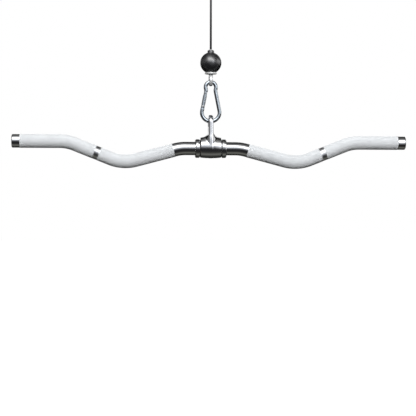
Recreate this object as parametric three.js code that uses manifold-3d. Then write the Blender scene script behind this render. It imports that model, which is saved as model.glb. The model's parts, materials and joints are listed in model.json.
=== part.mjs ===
// A multi-grip biceps bar hanging from its cable: a bent and gripped tube that spins in a swivel hanger,
// a snap hook with a sprung gate, and the cable with its eye terminal, ball stop and top loop.
// Millimetres. +Z up, +X along the bar, and the bar is seen from -Y.
// The origin is where the top loop bears on whatever holds it up.

import * as THREE from "three";
import { mergeVertices } from "three/addons/utils/BufferGeometryUtils.js";
import Module from "manifold-3d";

const wasm = await Module();
wasm.setup();

// Fits shared by all pieces
const seatGap = 0.3;
const overrun = 1;
const weldDistance = 1e-4;
const fullTurn = 2 * Math.PI;
const quarterTurn = Math.PI / 2;
const degree = Math.PI / 180;

// Bar: half of its centreline is given by four corners, and the other half mirrors it
const barLength = 822;
const tubeDiameter = 28;
const tubeWall = 3;
const gripDiameter = 28.6;
const bendRadius = 84;
const middleReach = 63;
const lowReach = 182.5;
const lowDrop = 31.7;
const handReach = 296.5;
const handRise = 13.7;
const endRound = 2;
const gripRamp = 0.6;
const middleBand = 78.2;
const bandFromEnd = 178.7;
const bandWidth = 10.5;
const endBand = 16.5;
const plugLength = 14;
const plugChamfer = 0.8;
const plugSink = 0.4;

// Swivel hanger: a sleeve on the bar, thicker above it, with a flat stem and an eye cast on top
const sleeveLength = 43.3;
const sleeveEndDiameter = 41.9;
const sleeveMiddleDiameter = 44.4;
const sleeveLift = 2;
const sleeveChamfer = 0.8;
const stemThickness = 9.8;
const eyeHeight = 53.25;
const eyeHole = 15.5;
const eyeRim = 9;
const stemRounding = 3.4;
const stemFoot = 5;
const stemInset = 0.2;
const filletRadius = 11.5;
const filletSetback = 3;
const filletSpread = 80 * degree;
const filletShares = [0, 0.04, 0.14, 0.31, 0.56, 1];

// Bearing: a flanged bush pressed into each end of the sleeve, a thrust washer and a collar
const bushWall = 1.5;
const bushLength = 15;
const flangeWidth = 1.6;
const flangeThickness = 1.3;
const washerThickness = 1;
const collarDiameter = 39;
const collarReach = 32.4;
const collarChamfer = 1.8;
const screwDiameter = 6;
const screwChamfer = 0.8;
const screwSink = 0.3;
const hexAcross = 3;
const hexDepth = 2.5;

// Snap hook: a round wire bent to two bows, with a gate in its left leg
const hookWire = 8;
const hookWidth = 45;
const topBowWidth = 29.7;
const bowSpacing = 52.65;
const legLean = 11.2 * degree;
const neckRadius = 9;
const hingeAboveBow = 9;
const noseBelowNeck = 1;
const gateGap = 0.5;
const tongueThickness = 3.4;
const tongueSideGap = 0.35;
const tongueRadius = 3.9;
const camRadius = 3;
const gateOpening = 26 * degree;
const shoulderDrop = 4.6;
const noseLength = 7.6;
const noseHalfWidth = 3.2;
const noseLip = 1.8;
const noseBack = 1.5;
const notchPlay = 0.4;
const rivetDiameter = 2.6;
const rivetHead = 4.4;
const rivetHeadHeight = 0.7;
const pinDiameter = 2.4;
const pinSink = 0.35;
const plungerDiameter = 3.2;
const plungerLength = 7.5;
const springWire = 0.5;
const springTurns = 7;
const springLength = 9;

// Eye terminal of the cable, with a shank that is pressed on it
const terminalHole = 16;
const terminalRim = 4.3;
const terminalThickness = 7.5;
const shankDiameter = 7.2;
const shankNeck = 0.3;
const shoulderDiameter = 8.8;
const shoulderHeight = 2.2;
const shankInBall = 32.9;
const socketDepth = 24;

// Stop: a washer, a rubber ball with a neck, and a bush where the cable leaves it
const stopWasherDiameter = 25;
const stopWasherThickness = 2.9;
const ballDiameter = 44.3;
const ballCut = 20.15;
const neckHeight = 26;
const neckDiameter = 13.8;
const neckChamfer = 0.8;
const neckBushLength = 9;
const neckBushFlange = 9.4;
const neckBushTop = 7.6;
const neckBushRise = 1.2;

// Cable: its points as x and height above the neck's top, up through the ferrule, round the top loop and
// back down beside itself
const cableDiameter = 4.5;
const cableRoute = [
  [0, -36],
  [0, -20],
  [0, -4],
  [0, 14],
  [0, 32],
  [0, 50],
  [0, 68],
  [0, 86],
  [0, 104],
  [0, 118],
  [0, 127],
  [0, 133],
  [-0.75, 137.6],
  [-2.85, 141.45],
  [-5.03, 144.8],
  [-7.76, 149],
  [-10.48, 153.19],
  [-12.07, 156.76],
  [-12.5, 160],
  [-11.55, 164.78],
  [-8.84, 168.84],
  [-4.78, 171.55],
  [0, 172.5],
  [4.78, 171.55],
  [8.84, 168.84],
  [11.55, 164.78],
  [12.5, 160],
  [12.31, 157.83],
  [11.75, 155.72],
  [10.04, 151.02],
  [8.33, 146.32],
  [6.8, 142.1],
  [5.5, 137.6],
  [5.1, 133],
  [5.1, 127],
  [5.1, 118],
  [5.1, 109.5],
];

// Top fittings: a pressed ferrule over both legs of the cable, and a thimble in its loop
const legSpacing = 5.1;
const ferruleHeight = 112;
const ferruleLength = 22;
const ferruleWall = 1.8;
const loopRadius = 12.5;
const loopHeight = 160;
const thimbleBase = 1.4;
const thimbleGap = 0.4;
const thimbleFlange = 1.2;
const thimbleFlangeRise = 2.4;
const thimbleLegs = 7.5;
const thimbleLeftLean = 33 * degree;
const thimbleRightLean = 20 * degree;

// How finely round shapes are faceted
const tubeSides = 24;
const boreSides = 16;
const turnedSides = 28;
const ringSides = 24;
const smallSides = 16;
const wireSides = 12;
const cableSides = 10;
const cableSteps = 56;
const bendStep = 6 * degree;
const hookStep = 12.5 * degree;
const roundSteps = 3;

// Places worked out from the sizes, as heights above the bar's axis at the hub
const tubeRadius = tubeDiameter / 2;
const gripRadius = gripDiameter / 2;
const wireRadius = hookWire / 2;
const bottomBow = hookWidth / 2 - wireRadius;
const topBow = topBowWidth / 2 - wireRadius;
const wireHeight = eyeHeight + eyeHole / 2 - seatGap - wireRadius;
const bottomBowHeight = wireHeight + bottomBow;
const topBowHeight = bottomBowHeight + bowSpacing;
const terminalFloor = topBowHeight + topBow - wireRadius - seatGap;
const terminalHeight = terminalFloor + terminalHole / 2;
const shoulderTop = terminalHeight + terminalHole / 2 + terminalRim + shankNeck;
const stopWasherBottom = shoulderTop + seatGap;
const ballBottom = stopWasherBottom + stopWasherThickness + seatGap;
const ballHeight = ballBottom + ballCut;
const neckTop = ballHeight + neckHeight;
const shankRadius = shankDiameter / 2;
const ballBore = shankRadius + seatGap;
const cableRadius = cableDiameter / 2;
const cableBore = cableRadius + seatGap;
const thimbleInner = loopRadius - cableRadius - thimbleGap - thimbleBase;
const bearingHeight = neckTop + loopHeight + thimbleInner;

// A route of straights and bends in the XZ plane, walked from its start. A heading is counted from +X
// towards +Z, and a bend with a positive angle turns that way.
class Route {
  constructor(x, z, heading) {
    this.pieces = [];
    this.length = 0;
    this.end = { x, z, heading };
  }
  straight(length) {
    return this.add(length, 0);
  }
  bend(radius, angle) {
    return this.add(radius * Math.abs(angle), Math.sign(angle) / radius);
  }
  add(length, curvature) {
    this.pieces.push({ from: this.length, ...this.end, curvature, length });
    this.length += length;
    this.end = this.at(this.length);
    return this;
  }
  at(distance) {
    const piece = this.pieces.findLast((p) => p.from <= distance) ?? this.pieces[0];
    const run = distance - piece.from;
    const heading = piece.heading + piece.curvature * run;
    if (piece.curvature === 0) {
      return { x: piece.x + run * Math.cos(heading), z: piece.z + run * Math.sin(heading), heading };
    }
    return {
      x: piece.x + (Math.sin(heading) - Math.sin(piece.heading)) / piece.curvature,
      z: piece.z - (Math.cos(heading) - Math.cos(piece.heading)) / piece.curvature,
      heading,
    };
  }
  // The distances at which a swept tube needs a ring, so that no step turns by more than the given angle
  stops(turn, from = 0, to = this.length) {
    const inside = [];
    for (const piece of this.pieces) {
      const steps = Math.max(1, Math.ceil((Math.abs(piece.curvature) * piece.length) / turn));
      for (let i = 0; i < steps; i += 1) {
        inside.push(piece.from + (piece.length * i) / steps);
      }
    }
    return [from, ...inside.filter((distance) => distance > from && distance < to), to];
  }
}

// The same route as a curve whose even steps are the given stops
class SteppedRoute extends THREE.Curve {
  constructor(route, stops) {
    super();
    this.route = route;
    this.stops = stops;
  }
  stop(share) {
    return this.route.at(this.stops[Math.round(share * (this.stops.length - 1))]);
  }
  getPointAt(share) {
    const { x, z } = this.stop(share);
    return new THREE.Vector3(x, 0, z);
  }
  getTangentAt(share) {
    const { heading } = this.stop(share);
    return new THREE.Vector3(Math.cos(heading), 0, Math.sin(heading));
  }
}

function solidFrom(geometry) {
  const bare = geometry.clone();
  bare.deleteAttribute("normal");
  bare.deleteAttribute("uv");
  const merged = mergeVertices(bare, weldDistance);
  return new wasm.Manifold(
    new wasm.Mesh({
      numProp: 3,
      vertProperties: merged.attributes.position.array,
      triVerts: new Uint32Array(merged.index.array),
    }),
  );
}

function geometryFrom(solid) {
  const { vertProperties, triVerts } = solid.getMesh();
  const geometry = new THREE.BufferGeometry();
  geometry.setAttribute("position", new THREE.BufferAttribute(vertProperties, 3));
  geometry.setIndex(new THREE.BufferAttribute(triVerts, 1));
  geometry.computeVertexNormals();
  return geometry;
}

// Joins the first geometry with the others
function joined(first, ...others) {
  return others.reduce((solid, other) => solid.add(solidFrom(other)), solidFrom(first));
}

// A profile of [radius, place along the axis] turned about Z or about X
function turnedAboutY(profile, sides = turnedSides) {
  return new THREE.LatheGeometry(profile.map(([r, along]) => new THREE.Vector2(r, along)), sides);
}
const turnedAboutZ = (profile, sides) => turnedAboutY(profile, sides).rotateX(quarterTurn);
const turnedAboutX = (profile, sides) => turnedAboutY(profile, sides).rotateZ(-quarterTurn);

// The closed profile of an oval bar bent to a ring, for turning
function ovalRing(middle, halfAcross, halfAlong, steps) {
  return Array.from({ length: steps + 1 }, (_, i) => {
    const angle = Math.PI + (fullTurn * i) / steps;
    return [middle + halfAcross * Math.cos(angle), i % steps === 0 ? 0 : halfAlong * Math.sin(angle)];
  });
}

function roundShape(radius, sides) {
  const corner = (i) => (fullTurn * (i + 1 / 2)) / sides;
  return new THREE.Shape(
    Array.from({ length: sides }, (_, i) => {
      return new THREE.Vector2(radius * Math.cos(corner(i)), radius * Math.sin(corner(i)));
    }),
  );
}

function swept(shape, route, stops) {
  return new THREE.ExtrudeGeometry(shape, {
    steps: stops.length - 1,
    extrudePath: new SteppedRoute(route, stops),
    bevelEnabled: false,
  });
}

// A flat shape drawn in X and Z, given the thickness evenly to both sides of Y = 0
function plate(shape, thickness) {
  return new THREE.ExtrudeGeometry(shape, { depth: thickness, bevelEnabled: false, curveSegments: smallSides / 2 })
    .translate(0, 0, -thickness / 2)
    .rotateX(quarterTurn);
}

// A closed skin over rings of as many points each, with a flat cap at both ends
function lofted(rings) {
  const sides = rings[0].length;
  const points = rings.flat();
  const faces = [];
  for (let ring = 0; ring + 1 < rings.length; ring += 1) {
    for (let side = 0; side < sides; side += 1) {
      const next = (side + 1) % sides;
      const [a, b] = [ring * sides + side, ring * sides + next];
      faces.push(a, b, a + sides, b, b + sides, a + sides);
    }
  }
  const last = (rings.length - 1) * sides;
  for (let side = 1; side + 1 < sides; side += 1) {
    faces.push(0, side + 1, side);
    faces.push(last, last + side, last + side + 1);
  }
  const geometry = new THREE.BufferGeometry().setFromPoints(points);
  geometry.setIndex(faces);
  return geometry;
}

const chrome = { color: 0xd9dadb, roughness: 0.12, metalness: 1 };
const knurled = { color: 0xd3d6d8, roughness: 0.3, metalness: 1 };
const zincSteel = { color: 0xa9b1b7, roughness: 0.3, metalness: 1 };
const bronze = { color: 0x9c7a45, roughness: 0.4, metalness: 1 };
const blackSteel = { color: 0x26272a, roughness: 0.5, metalness: 0.8 };
const nylon = { color: 0x2b2b2c, roughness: 0.5, metalness: 0 };
const rubber = { color: 0x1d1e1f, roughness: 0.55, metalness: 0 };
const coating = { color: 0x3a3b3c, roughness: 0.45, metalness: 0 };
const paleMetal = { color: 0xb9bcbd, roughness: 0.35, metalness: 0.9 };

function place(group, name, form, finish) {
  const geometry = form.isBufferGeometry ? form : geometryFrom(form);
  const mesh = new THREE.Mesh(geometry, new THREE.MeshStandardMaterial(finish));
  mesh.name = name;
  group.add(mesh);
}

// The bar's centreline, from its left end to its right end
function barRoute() {
  const innerSlope = Math.atan2(lowDrop, lowReach - middleReach);
  const outerSlope = Math.atan2(lowDrop + handRise, handReach - lowReach);
  const setback = (angle) => bendRadius * Math.tan(angle / 2);
  const hand = barLength / 2 - handReach - setback(outerSlope);
  const outer = Math.hypot(handReach - lowReach, lowDrop + handRise) - setback(outerSlope);
  const inner = Math.hypot(lowReach - middleReach, lowDrop) - setback(innerSlope);
  const low = setback(innerSlope + outerSlope);
  return new Route(-barLength / 2, handRise, 0)
    .straight(hand)
    .bend(bendRadius, -outerSlope)
    .straight(outer - low)
    .bend(bendRadius, outerSlope + innerSlope)
    .straight(inner - low)
    .bend(bendRadius, -innerSlope)
    .straight(2 * (middleReach - setback(innerSlope)))
    .bend(bendRadius, -innerSlope)
    .straight(inner - low)
    .bend(bendRadius, outerSlope + innerSlope)
    .straight(outer - low)
    .bend(bendRadius, -outerSlope)
    .straight(hand);
}

// The tube's radius along the route: rounded ends, plain bands, and grips that stand a little proud
function tubeMarks(length) {
  const bandNear = bandFromEnd - bandWidth / 2;
  const bandFar = bandFromEnd + bandWidth / 2;
  const grips = [
    [endBand, bandNear],
    [bandFar, length / 2 - middleBand],
  ];
  const half = [];
  for (let i = 0; i <= roundSteps; i += 1) {
    const angle = (quarterTurn * i) / roundSteps;
    half.push([endRound * (1 - Math.cos(angle)), tubeRadius - endRound * (1 - Math.sin(angle))]);
  }
  for (const [from, to] of grips) {
    half.push([from, tubeRadius], [from + gripRamp, gripRadius]);
    half.push([to - gripRamp, gripRadius], [to, tubeRadius]);
  }
  return [...half, ...half.map(([distance, radius]) => [length - distance, radius]).reverse()];
}

function radiusAt(marks, distance) {
  const after = marks.findIndex(([mark]) => mark >= distance);
  if (after <= 0) {
    return marks[0][1];
  }
  const [from, near] = marks[after - 1];
  const [to, far] = marks[after];
  return THREE.MathUtils.lerp(near, far, (distance - from) / (to - from));
}

function barTube() {
  const route = barRoute();
  const marks = tubeMarks(route.length);
  const distances = [...marks.map(([distance]) => distance), ...route.stops(bendStep).slice(1, -1)];
  const rings = distances
    .sort((a, b) => a - b)
    .map((distance) => {
      const { x, z, heading } = route.at(distance);
      const radius = radiusAt(marks, distance);
      return Array.from({ length: tubeSides }, (_, side) => {
        const angle = (fullTurn * side) / tubeSides;
        const rise = radius * Math.sin(angle);
        const back = radius * Math.cos(angle);
        return new THREE.Vector3(x - rise * Math.sin(heading), back, z + rise * Math.cos(heading));
      });
    });
  const stops = route.stops(2 * bendStep, -overrun, route.length + overrun);
  const bore = swept(roundShape(tubeRadius - tubeWall, boreSides), route, stops);
  return solidFrom(lofted(rings)).subtract(solidFrom(bore));
}

// A plug in the tube's right end, seen along X
function endPlug() {
  const radius = tubeRadius - tubeWall - seatGap;
  const face = barLength / 2 - plugSink;
  const back = face - plugLength;
  return turnedAboutX(
    [
      [0, back],
      [radius - plugChamfer, back],
      [radius, back + plugChamfer],
      [radius, face - plugChamfer],
      [radius - plugChamfer, face],
      [0, face],
    ],
    smallSides,
  );
}

// The bearing's radii, from the tube outwards, and its places along X
const runningRadius = tubeRadius + seatGap;
const bushRadius = runningRadius + bushWall;
const flangeRadius = bushRadius + flangeWidth;
const sleeveFace = sleeveLength / 2;
const washerFace = sleeveFace + seatGap;
const collarFace = washerFace + washerThickness + seatGap;

function sleeveRadiusAt(across) {
  const share = Math.min(1, Math.abs(across) / sleeveFace);
  return THREE.MathUtils.lerp(sleeveMiddleDiameter, sleeveEndDiameter, share * share) / 2;
}

function sleeve() {
  const placeShares = [-1, -0.75, -0.5, -0.25, 0.25, 0.5, 0.75, 1];
  const body = placeShares.map((share) => {
    const across = share * (sleeveFace - sleeveChamfer);
    return [sleeveRadiusAt(across), across];
  });
  const rim = sleeveEndDiameter / 2 - sleeveChamfer;
  const profile = [[0, -sleeveFace], [rim, -sleeveFace], ...body, [rim, sleeveFace], [0, sleeveFace]];
  return turnedAboutX(profile).translate(0, 0, sleeveLift);
}

// The stem and its eye: a plate tangent to the sleeve and to the eye, with rounded edges
const stemRadius = sleeveMiddleDiameter / 2 - stemInset;
const eyeRadius = eyeHole / 2 + eyeRim;
const stemSlope = Math.asin((stemRadius - eyeRadius) / (eyeHeight - sleeveLift));
const stemReach = stemRadius / Math.cos(stemSlope);
const stemDepthAt = (height) => stemReach - (height - sleeveLift) * Math.tan(stemSlope);

function stem() {
  const outline = new THREE.Shape();
  outline.moveTo(stemFoot, -stemDepthAt(stemFoot));
  outline.absarc(eyeHeight, 0, eyeRadius, stemSlope - quarterTurn, quarterTurn - stemSlope, false);
  outline.lineTo(stemFoot, stemDepthAt(stemFoot));
  const flat = stemThickness - 2 * stemRounding;
  return new THREE.ExtrudeGeometry(outline, {
    depth: flat,
    bevelThickness: stemRounding,
    bevelSize: stemRounding,
    bevelOffset: -stemRounding,
    bevelSegments: roundSteps,
    curveSegments: smallSides / 2,
  })
    .translate(0, 0, -flat / 2)
    .rotateY(-quarterTurn);
}

// What the eye's hole takes away, flared to round the edges of the stem
function eyeCut() {
  const half = stemThickness / 2;
  const flared = Array.from({ length: roundSteps + 1 }, (_, i) => {
    const angle = (quarterTurn * i) / roundSteps;
    const radius = eyeHole / 2 + stemRounding * (1 - Math.cos(angle));
    return [radius, half - stemRounding * (1 - Math.sin(angle))];
  });
  const mouth = eyeHole / 2 + stemRounding;
  const right = [...flared, [mouth, half + overrun], [0, half + overrun]];
  const left = right.toReversed().map(([radius, along]) => [radius, -along]);
  return turnedAboutX([...left, ...right], ringSides).translate(0, 0, eyeHeight);
}

// The fillet between the sleeve and both faces of the stem, as sections along X
function stemFillet() {
  const steps = smallSides;
  const section = (across, rise) =>
    Array.from({ length: steps + 1 }, (_, i) => {
      const angle = filletSpread * ((2 * i) / steps - 1);
      const lean = Math.abs(Math.sin(angle)) + Math.tan(stemSlope) * Math.cos(angle);
      const radius = Math.min(sleeveRadiusAt(across) - stemInset + rise, (stemReach - filletSetback) / lean);
      return new THREE.Vector3(across, -radius * Math.sin(angle), sleeveLift + radius * Math.cos(angle));
    });
  const half = filletShares.map((share) => {
    const rise = filletRadius * (1 - Math.sqrt(share * (2 - share)));
    return [stemThickness / 2 + share * filletRadius, rise];
  });
  const left = half.toReversed().map(([across, rise]) => section(-across, rise));
  return lofted([...left, ...half.map(([across, rise]) => section(across, rise))]);
}

function swivelHanger() {
  const boreRadius = bushRadius + seatGap;
  const seatRadius = flangeRadius + seatGap;
  const seat = sleeveFace - flangeThickness - seatGap;
  const mouth = sleeveFace + overrun;
  const bore = turnedAboutX([
    [0, -mouth],
    [seatRadius, -mouth],
    [seatRadius, -seat],
    [boreRadius, -seat],
    [boreRadius, seat],
    [seatRadius, seat],
    [seatRadius, mouth],
    [0, mouth],
  ]);
  const eyedStem = solidFrom(stem()).subtract(solidFrom(eyeCut()));
  return joined(sleeve(), stemFillet()).add(eyedStem).subtract(solidFrom(bore));
}

function bush() {
  const flangeBack = sleeveFace - flangeThickness;
  const inner = sleeveFace - bushLength;
  return turnedAboutX([
    [runningRadius, inner],
    [bushRadius, inner],
    [bushRadius, flangeBack],
    [flangeRadius, flangeBack],
    [flangeRadius, sleeveFace],
    [runningRadius, sleeveFace],
    [runningRadius, inner],
  ]);
}

// A flat ring between two places along X
function flatRing(inner, outer, from, to) {
  return [
    [inner, from],
    [outer, from],
    [outer, to],
    [inner, to],
    [inner, from],
  ];
}

const screwPlace = (collarFace + collarReach) / 2;
const screwRadius = screwDiameter / 2;

function collar() {
  const radius = collarDiameter / 2;
  const ring = turnedAboutX([
    [runningRadius, collarFace],
    [radius - sleeveChamfer, collarFace],
    [radius, collarFace + sleeveChamfer],
    [radius, collarReach - collarChamfer],
    [radius - collarChamfer, collarReach],
    [runningRadius, collarReach],
    [runningRadius, collarFace],
  ]);
  const hole = turnedAboutY(
    [
      [0, 0],
      [screwRadius + seatGap, 0],
      [screwRadius + seatGap, radius + overrun],
      [0, radius + overrun],
    ],
    smallSides,
  ).translate(screwPlace, 0, 0);
  return solidFrom(ring).subtract(solidFrom(hole));
}

// A socket screw through the collar's back, down to the tube
function collarScrew() {
  const top = collarDiameter / 2 - screwSink;
  const screw = turnedAboutY(
    [
      [0, runningRadius],
      [screwRadius - screwChamfer, runningRadius],
      [screwRadius, runningRadius + screwChamfer],
      [screwRadius, top],
      [0, top],
    ],
    smallSides,
  );
  const corners = 6;
  const cornerRadius = hexAcross / 2 / Math.cos(Math.PI / corners);
  const socket = new THREE.CylinderGeometry(cornerRadius, cornerRadius, hexDepth + overrun, corners).translate(
    0,
    top - hexDepth + (hexDepth + overrun) / 2,
    0,
  );
  return geometryFrom(solidFrom(screw).subtract(solidFrom(socket))).translate(screwPlace, 0, 0);
}

// The snap hook's legs run along the common tangent of the bottom bow and the neck's reverse bend
const bowReach = topBow + neckRadius;
const neckSide = bottomBow + neckRadius - bowSpacing * Math.sin(legLean);
const neckDrop = Math.sqrt(bowReach ** 2 - neckSide ** 2);
const neckTurn = Math.asin(neckDrop / bowReach);
const legLength = bowSpacing * Math.cos(legLean) - neckDrop;

// The gate's own frame: it starts at the hinge, its z runs up the left leg and its x points inwards
const hingeX = -bottomBow * Math.cos(legLean) + hingeAboveBow * Math.sin(legLean);
const hingeHeight = bottomBowHeight + bottomBow * Math.sin(legLean) + hingeAboveBow * Math.cos(legLean);
const noseShoulder = legLength - hingeAboveBow - noseBelowNeck;
const gateTip = noseShoulder - gateGap;
const noseTip = noseShoulder - noseLength;
const pinRadius = pinDiameter / 2;
const notchHalf = pinRadius + notchPlay;
const pinHeight = noseTip + noseLip + notchHalf;
const slotHalf = tongueThickness / 2 + tongueSideGap;
const camRise = (tongueRadius - camRadius) / gateOpening;

const toHinge = new THREE.Matrix4().makeRotationY(legLean).setPosition(hingeX, 0, hingeHeight);

// The tongue that the gate's fork turns on. Its cam is lowest under the closed gate, and rises evenly
// with the gate's angle, so the plunger holds the gate shut.
function hingeTongue() {
  const camSteps = 6;
  const shape = new THREE.Shape();
  shape.moveTo(tongueRadius, -shoulderDrop - overrun);
  shape.lineTo(tongueRadius, 0);
  shape.absarc(0, 0, tongueRadius, 0, quarterTurn - gateOpening, false);
  for (let step = 1; step <= camSteps; step += 1) {
    const angle = gateOpening * (1 - step / camSteps);
    const radius = camRadius + camRise * angle;
    shape.lineTo(radius * Math.sin(angle), radius * Math.cos(angle));
  }
  shape.lineTo(-camRadius * Math.tan(gateOpening), camRadius);
  shape.lineTo(-tongueRadius, 0);
  shape.lineTo(-tongueRadius, -shoulderDrop - overrun);
  return plate(shape, tongueThickness);
}

// The nose: a tongue with a notch, open to the inside, that the gate's pin drops into
function noseTongue() {
  const shape = new THREE.Shape();
  const back = -noseBack + notchHalf;
  shape.moveTo(-noseHalfWidth, noseShoulder + overrun);
  shape.lineTo(-noseHalfWidth, noseTip);
  shape.lineTo(noseHalfWidth - noseLip / 2, noseTip);
  shape.lineTo(noseHalfWidth, noseTip + noseLip / 2);
  shape.lineTo(noseHalfWidth, pinHeight - notchHalf);
  shape.lineTo(back, pinHeight - notchHalf);
  shape.absarc(back, pinHeight, notchHalf, -quarterTurn, quarterTurn, true);
  shape.lineTo(noseHalfWidth, pinHeight + notchHalf);
  shape.lineTo(noseHalfWidth, noseShoulder + overrun);
  return plate(shape, tongueThickness);
}

// A round bar across the gate, along Y, at a height in the gate's frame
function crossBar(radius, halfLength, height) {
  return turnedAboutY(
    [
      [0, -halfLength],
      [radius, -halfLength],
      [radius, halfLength],
      [0, halfLength],
    ],
    smallSides,
  ).translate(0, 0, height);
}

function snapHook() {
  const start = hingeAboveBow - shoulderDrop;
  const route = new Route(
    -bottomBow * Math.cos(legLean) + start * Math.sin(legLean),
    bottomBowHeight + bottomBow * Math.sin(legLean) + start * Math.cos(legLean),
    -quarterTurn - legLean,
  )
    .straight(start)
    .bend(bottomBow, Math.PI + 2 * legLean)
    .straight(legLength)
    .bend(neckRadius, -neckTurn)
    .bend(topBow, Math.PI - 2 * legLean + 2 * neckTurn)
    .bend(neckRadius, -neckTurn)
    .straight(noseBelowNeck);
  const wire = swept(roundShape(wireRadius, wireSides), route, route.stops(hookStep));
  const tongues = [hingeTongue(), noseTongue()].map((tongue) => tongue.applyMatrix4(toHinge));
  const hole = crossBar(rivetDiameter / 2 + seatGap, hookWire, 0).applyMatrix4(toHinge);
  return joined(wire, ...tongues).subtract(solidFrom(hole));
}

const plungerFoot = camRadius + seatGap;
const plungerTop = plungerFoot + plungerLength;
const springFoot = plungerTop + seatGap;
const springTop = springFoot + springLength;
const gateBore = plungerDiameter / 2 + seatGap;

// The gate: a round bar, forked at both ends, with a blind bore for the plunger and its spring
function gateBody() {
  const outline = new THREE.Shape();
  outline.moveTo(-wireRadius, gateTip);
  outline.lineTo(-wireRadius, 0);
  outline.absarc(0, 0, wireRadius, Math.PI, fullTurn, false);
  outline.lineTo(wireRadius, gateTip);
  const round = turnedAboutZ(
    [
      [0, -wireRadius - overrun],
      [wireRadius, -wireRadius - overrun],
      [wireRadius, gateTip],
      [0, gateTip],
    ],
    smallSides,
  );
  const slot = (from, to) => {
    const size = [2 * (wireRadius + overrun), 2 * slotHalf, to - from];
    return new THREE.BoxGeometry(...size).translate(0, 0, (from + to) / 2);
  };
  const boreTop = springTop + seatGap;
  const bore = turnedAboutZ(
    [
      [0, 0],
      [gateBore, 0],
      [gateBore, boreTop],
      [0, boreTop],
    ],
    wireSides,
  );
  const cuts = [
    slot(-wireRadius - 2 * overrun, tongueRadius + gateGap),
    slot(noseTip - gateGap, gateTip + overrun),
    bore,
    crossBar(rivetDiameter / 2 + seatGap, hookWire, 0),
    crossBar(pinRadius + seatGap, hookWire, pinHeight),
  ];
  const blank = solidFrom(round).intersect(solidFrom(plate(outline, hookWire + overrun)));
  return cuts.reduce((solid, cut) => solid.subtract(solidFrom(cut)), blank);
}

// A rivet with a low head on each side, along Y
function gateRivet() {
  const headRadius = rivetHead / 2;
  const under = wireRadius + seatGap;
  const half = [
    [rivetDiameter / 2, under],
    [headRadius, under],
    [headRadius, under + rivetHeadHeight / 2],
    [headRadius / 2, under + rivetHeadHeight],
    [0, under + rivetHeadHeight],
  ];
  return turnedAboutY([...half.map(([r, y]) => [r, -y]).reverse(), ...half], smallSides);
}

function gatePlunger() {
  const radius = plungerDiameter / 2;
  return turnedAboutZ(
    [
      [0, plungerFoot],
      [radius / 2, plungerFoot + radius / 6],
      [radius, plungerFoot + radius],
      [radius, plungerTop],
      [0, plungerTop],
    ],
    wireSides,
  );
}

class Helix extends THREE.Curve {
  getPoint(share) {
    const radius = plungerDiameter / 2 - springWire / 2;
    const angle = share * springTurns * fullTurn;
    const rise = springWire / 2 + share * (springLength - springWire);
    return new THREE.Vector3(radius * Math.cos(angle), radius * Math.sin(angle), springFoot + rise);
  }
}

function gateSpring() {
  const stepsPerTurn = 7;
  const wireCorners = 5;
  return new THREE.ExtrudeGeometry(roundShape(springWire / 2, wireCorners), {
    steps: springTurns * stepsPerTurn,
    extrudePath: new Helix(),
    bevelEnabled: false,
  });
}

function cableTerminal() {
  const middle = (terminalHole + terminalRim) / 2;
  const ring = turnedAboutX(
    ovalRing(middle, terminalRim / 2, terminalThickness / 2, wireSides),
    ringSides,
  );
  const foot = terminalHeight + middle;
  const top = shoulderTop + shankInBall;
  const shoulderRadius = shoulderDiameter / 2;
  const mouth = (cableBore + shankRadius) / 2;
  const shank = turnedAboutZ(
    [
      [0, foot],
      [cableBore, foot],
      [shankRadius, shoulderTop - shoulderHeight],
      [shoulderRadius, shoulderTop - shoulderHeight],
      [shoulderRadius, shoulderTop],
      [shankRadius, shoulderTop],
      [shankRadius, top - (shankRadius - mouth)],
      [mouth, top],
      [cableBore, top],
      [cableBore, top - socketDepth],
      [0, top - socketDepth],
    ],
    smallSides,
  );
  return joined(ring.translate(0, 0, terminalHeight), shank);
}

function stopBall() {
  const radius = ballDiameter / 2;
  const neckRadiusOut = neckDiameter / 2;
  const from = -Math.asin(ballCut / radius);
  const to = Math.acos(neckRadiusOut / radius);
  const steps = 12;
  const skin = Array.from({ length: steps + 1 }, (_, i) => {
    const angle = from + ((to - from) * i) / steps;
    return [radius * Math.cos(angle), ballHeight + radius * Math.sin(angle)];
  });
  skin[0][1] = ballBottom;
  return turnedAboutZ([
    [ballBore, ballBottom],
    ...skin,
    [neckRadiusOut, neckTop - neckChamfer],
    [neckRadiusOut - neckChamfer, neckTop],
    [ballBore, neckTop],
    [ballBore, ballBottom],
  ]);
}

function neckBush() {
  const seat = neckTop + seatGap;
  return turnedAboutZ(
    [
      [cableBore, neckTop - neckBushLength],
      [ballBore - seatGap, neckTop - neckBushLength],
      [ballBore - seatGap, seat],
      [neckBushFlange / 2, seat],
      [neckBushTop / 2, seat + neckBushRise],
      [cableBore, seat + neckBushRise],
      [cableBore, neckTop - neckBushLength],
    ],
    smallSides,
  );
}

function cable() {
  const points = cableRoute.map(([x, height]) => new THREE.Vector3(x, 0, neckTop + height));
  return new THREE.ExtrudeGeometry(roundShape(cableRadius, cableSides), {
    steps: cableSteps,
    extrudePath: new THREE.CatmullRomCurve3(points),
    bevelEnabled: false,
  });
}

// A long hole or outline with round ends, from the first leg of the cable to the second
function legOutline(radius) {
  const outline = new THREE.Path();
  outline.absarc(0, 0, radius, quarterTurn, 3 * quarterTurn, false);
  outline.absarc(legSpacing, 0, radius, -quarterTurn, quarterTurn, false);
  return outline.getPoints(smallSides / 2);
}

function cableFerrule() {
  const section = new THREE.Shape(legOutline(cableBore + ferruleWall));
  section.holes.push(new THREE.Path(legOutline(cableBore)));
  return new THREE.ExtrudeGeometry(section, { depth: ferruleLength, bevelEnabled: false }).translate(
    0,
    0,
    neckTop + ferruleHeight,
  );
}

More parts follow.
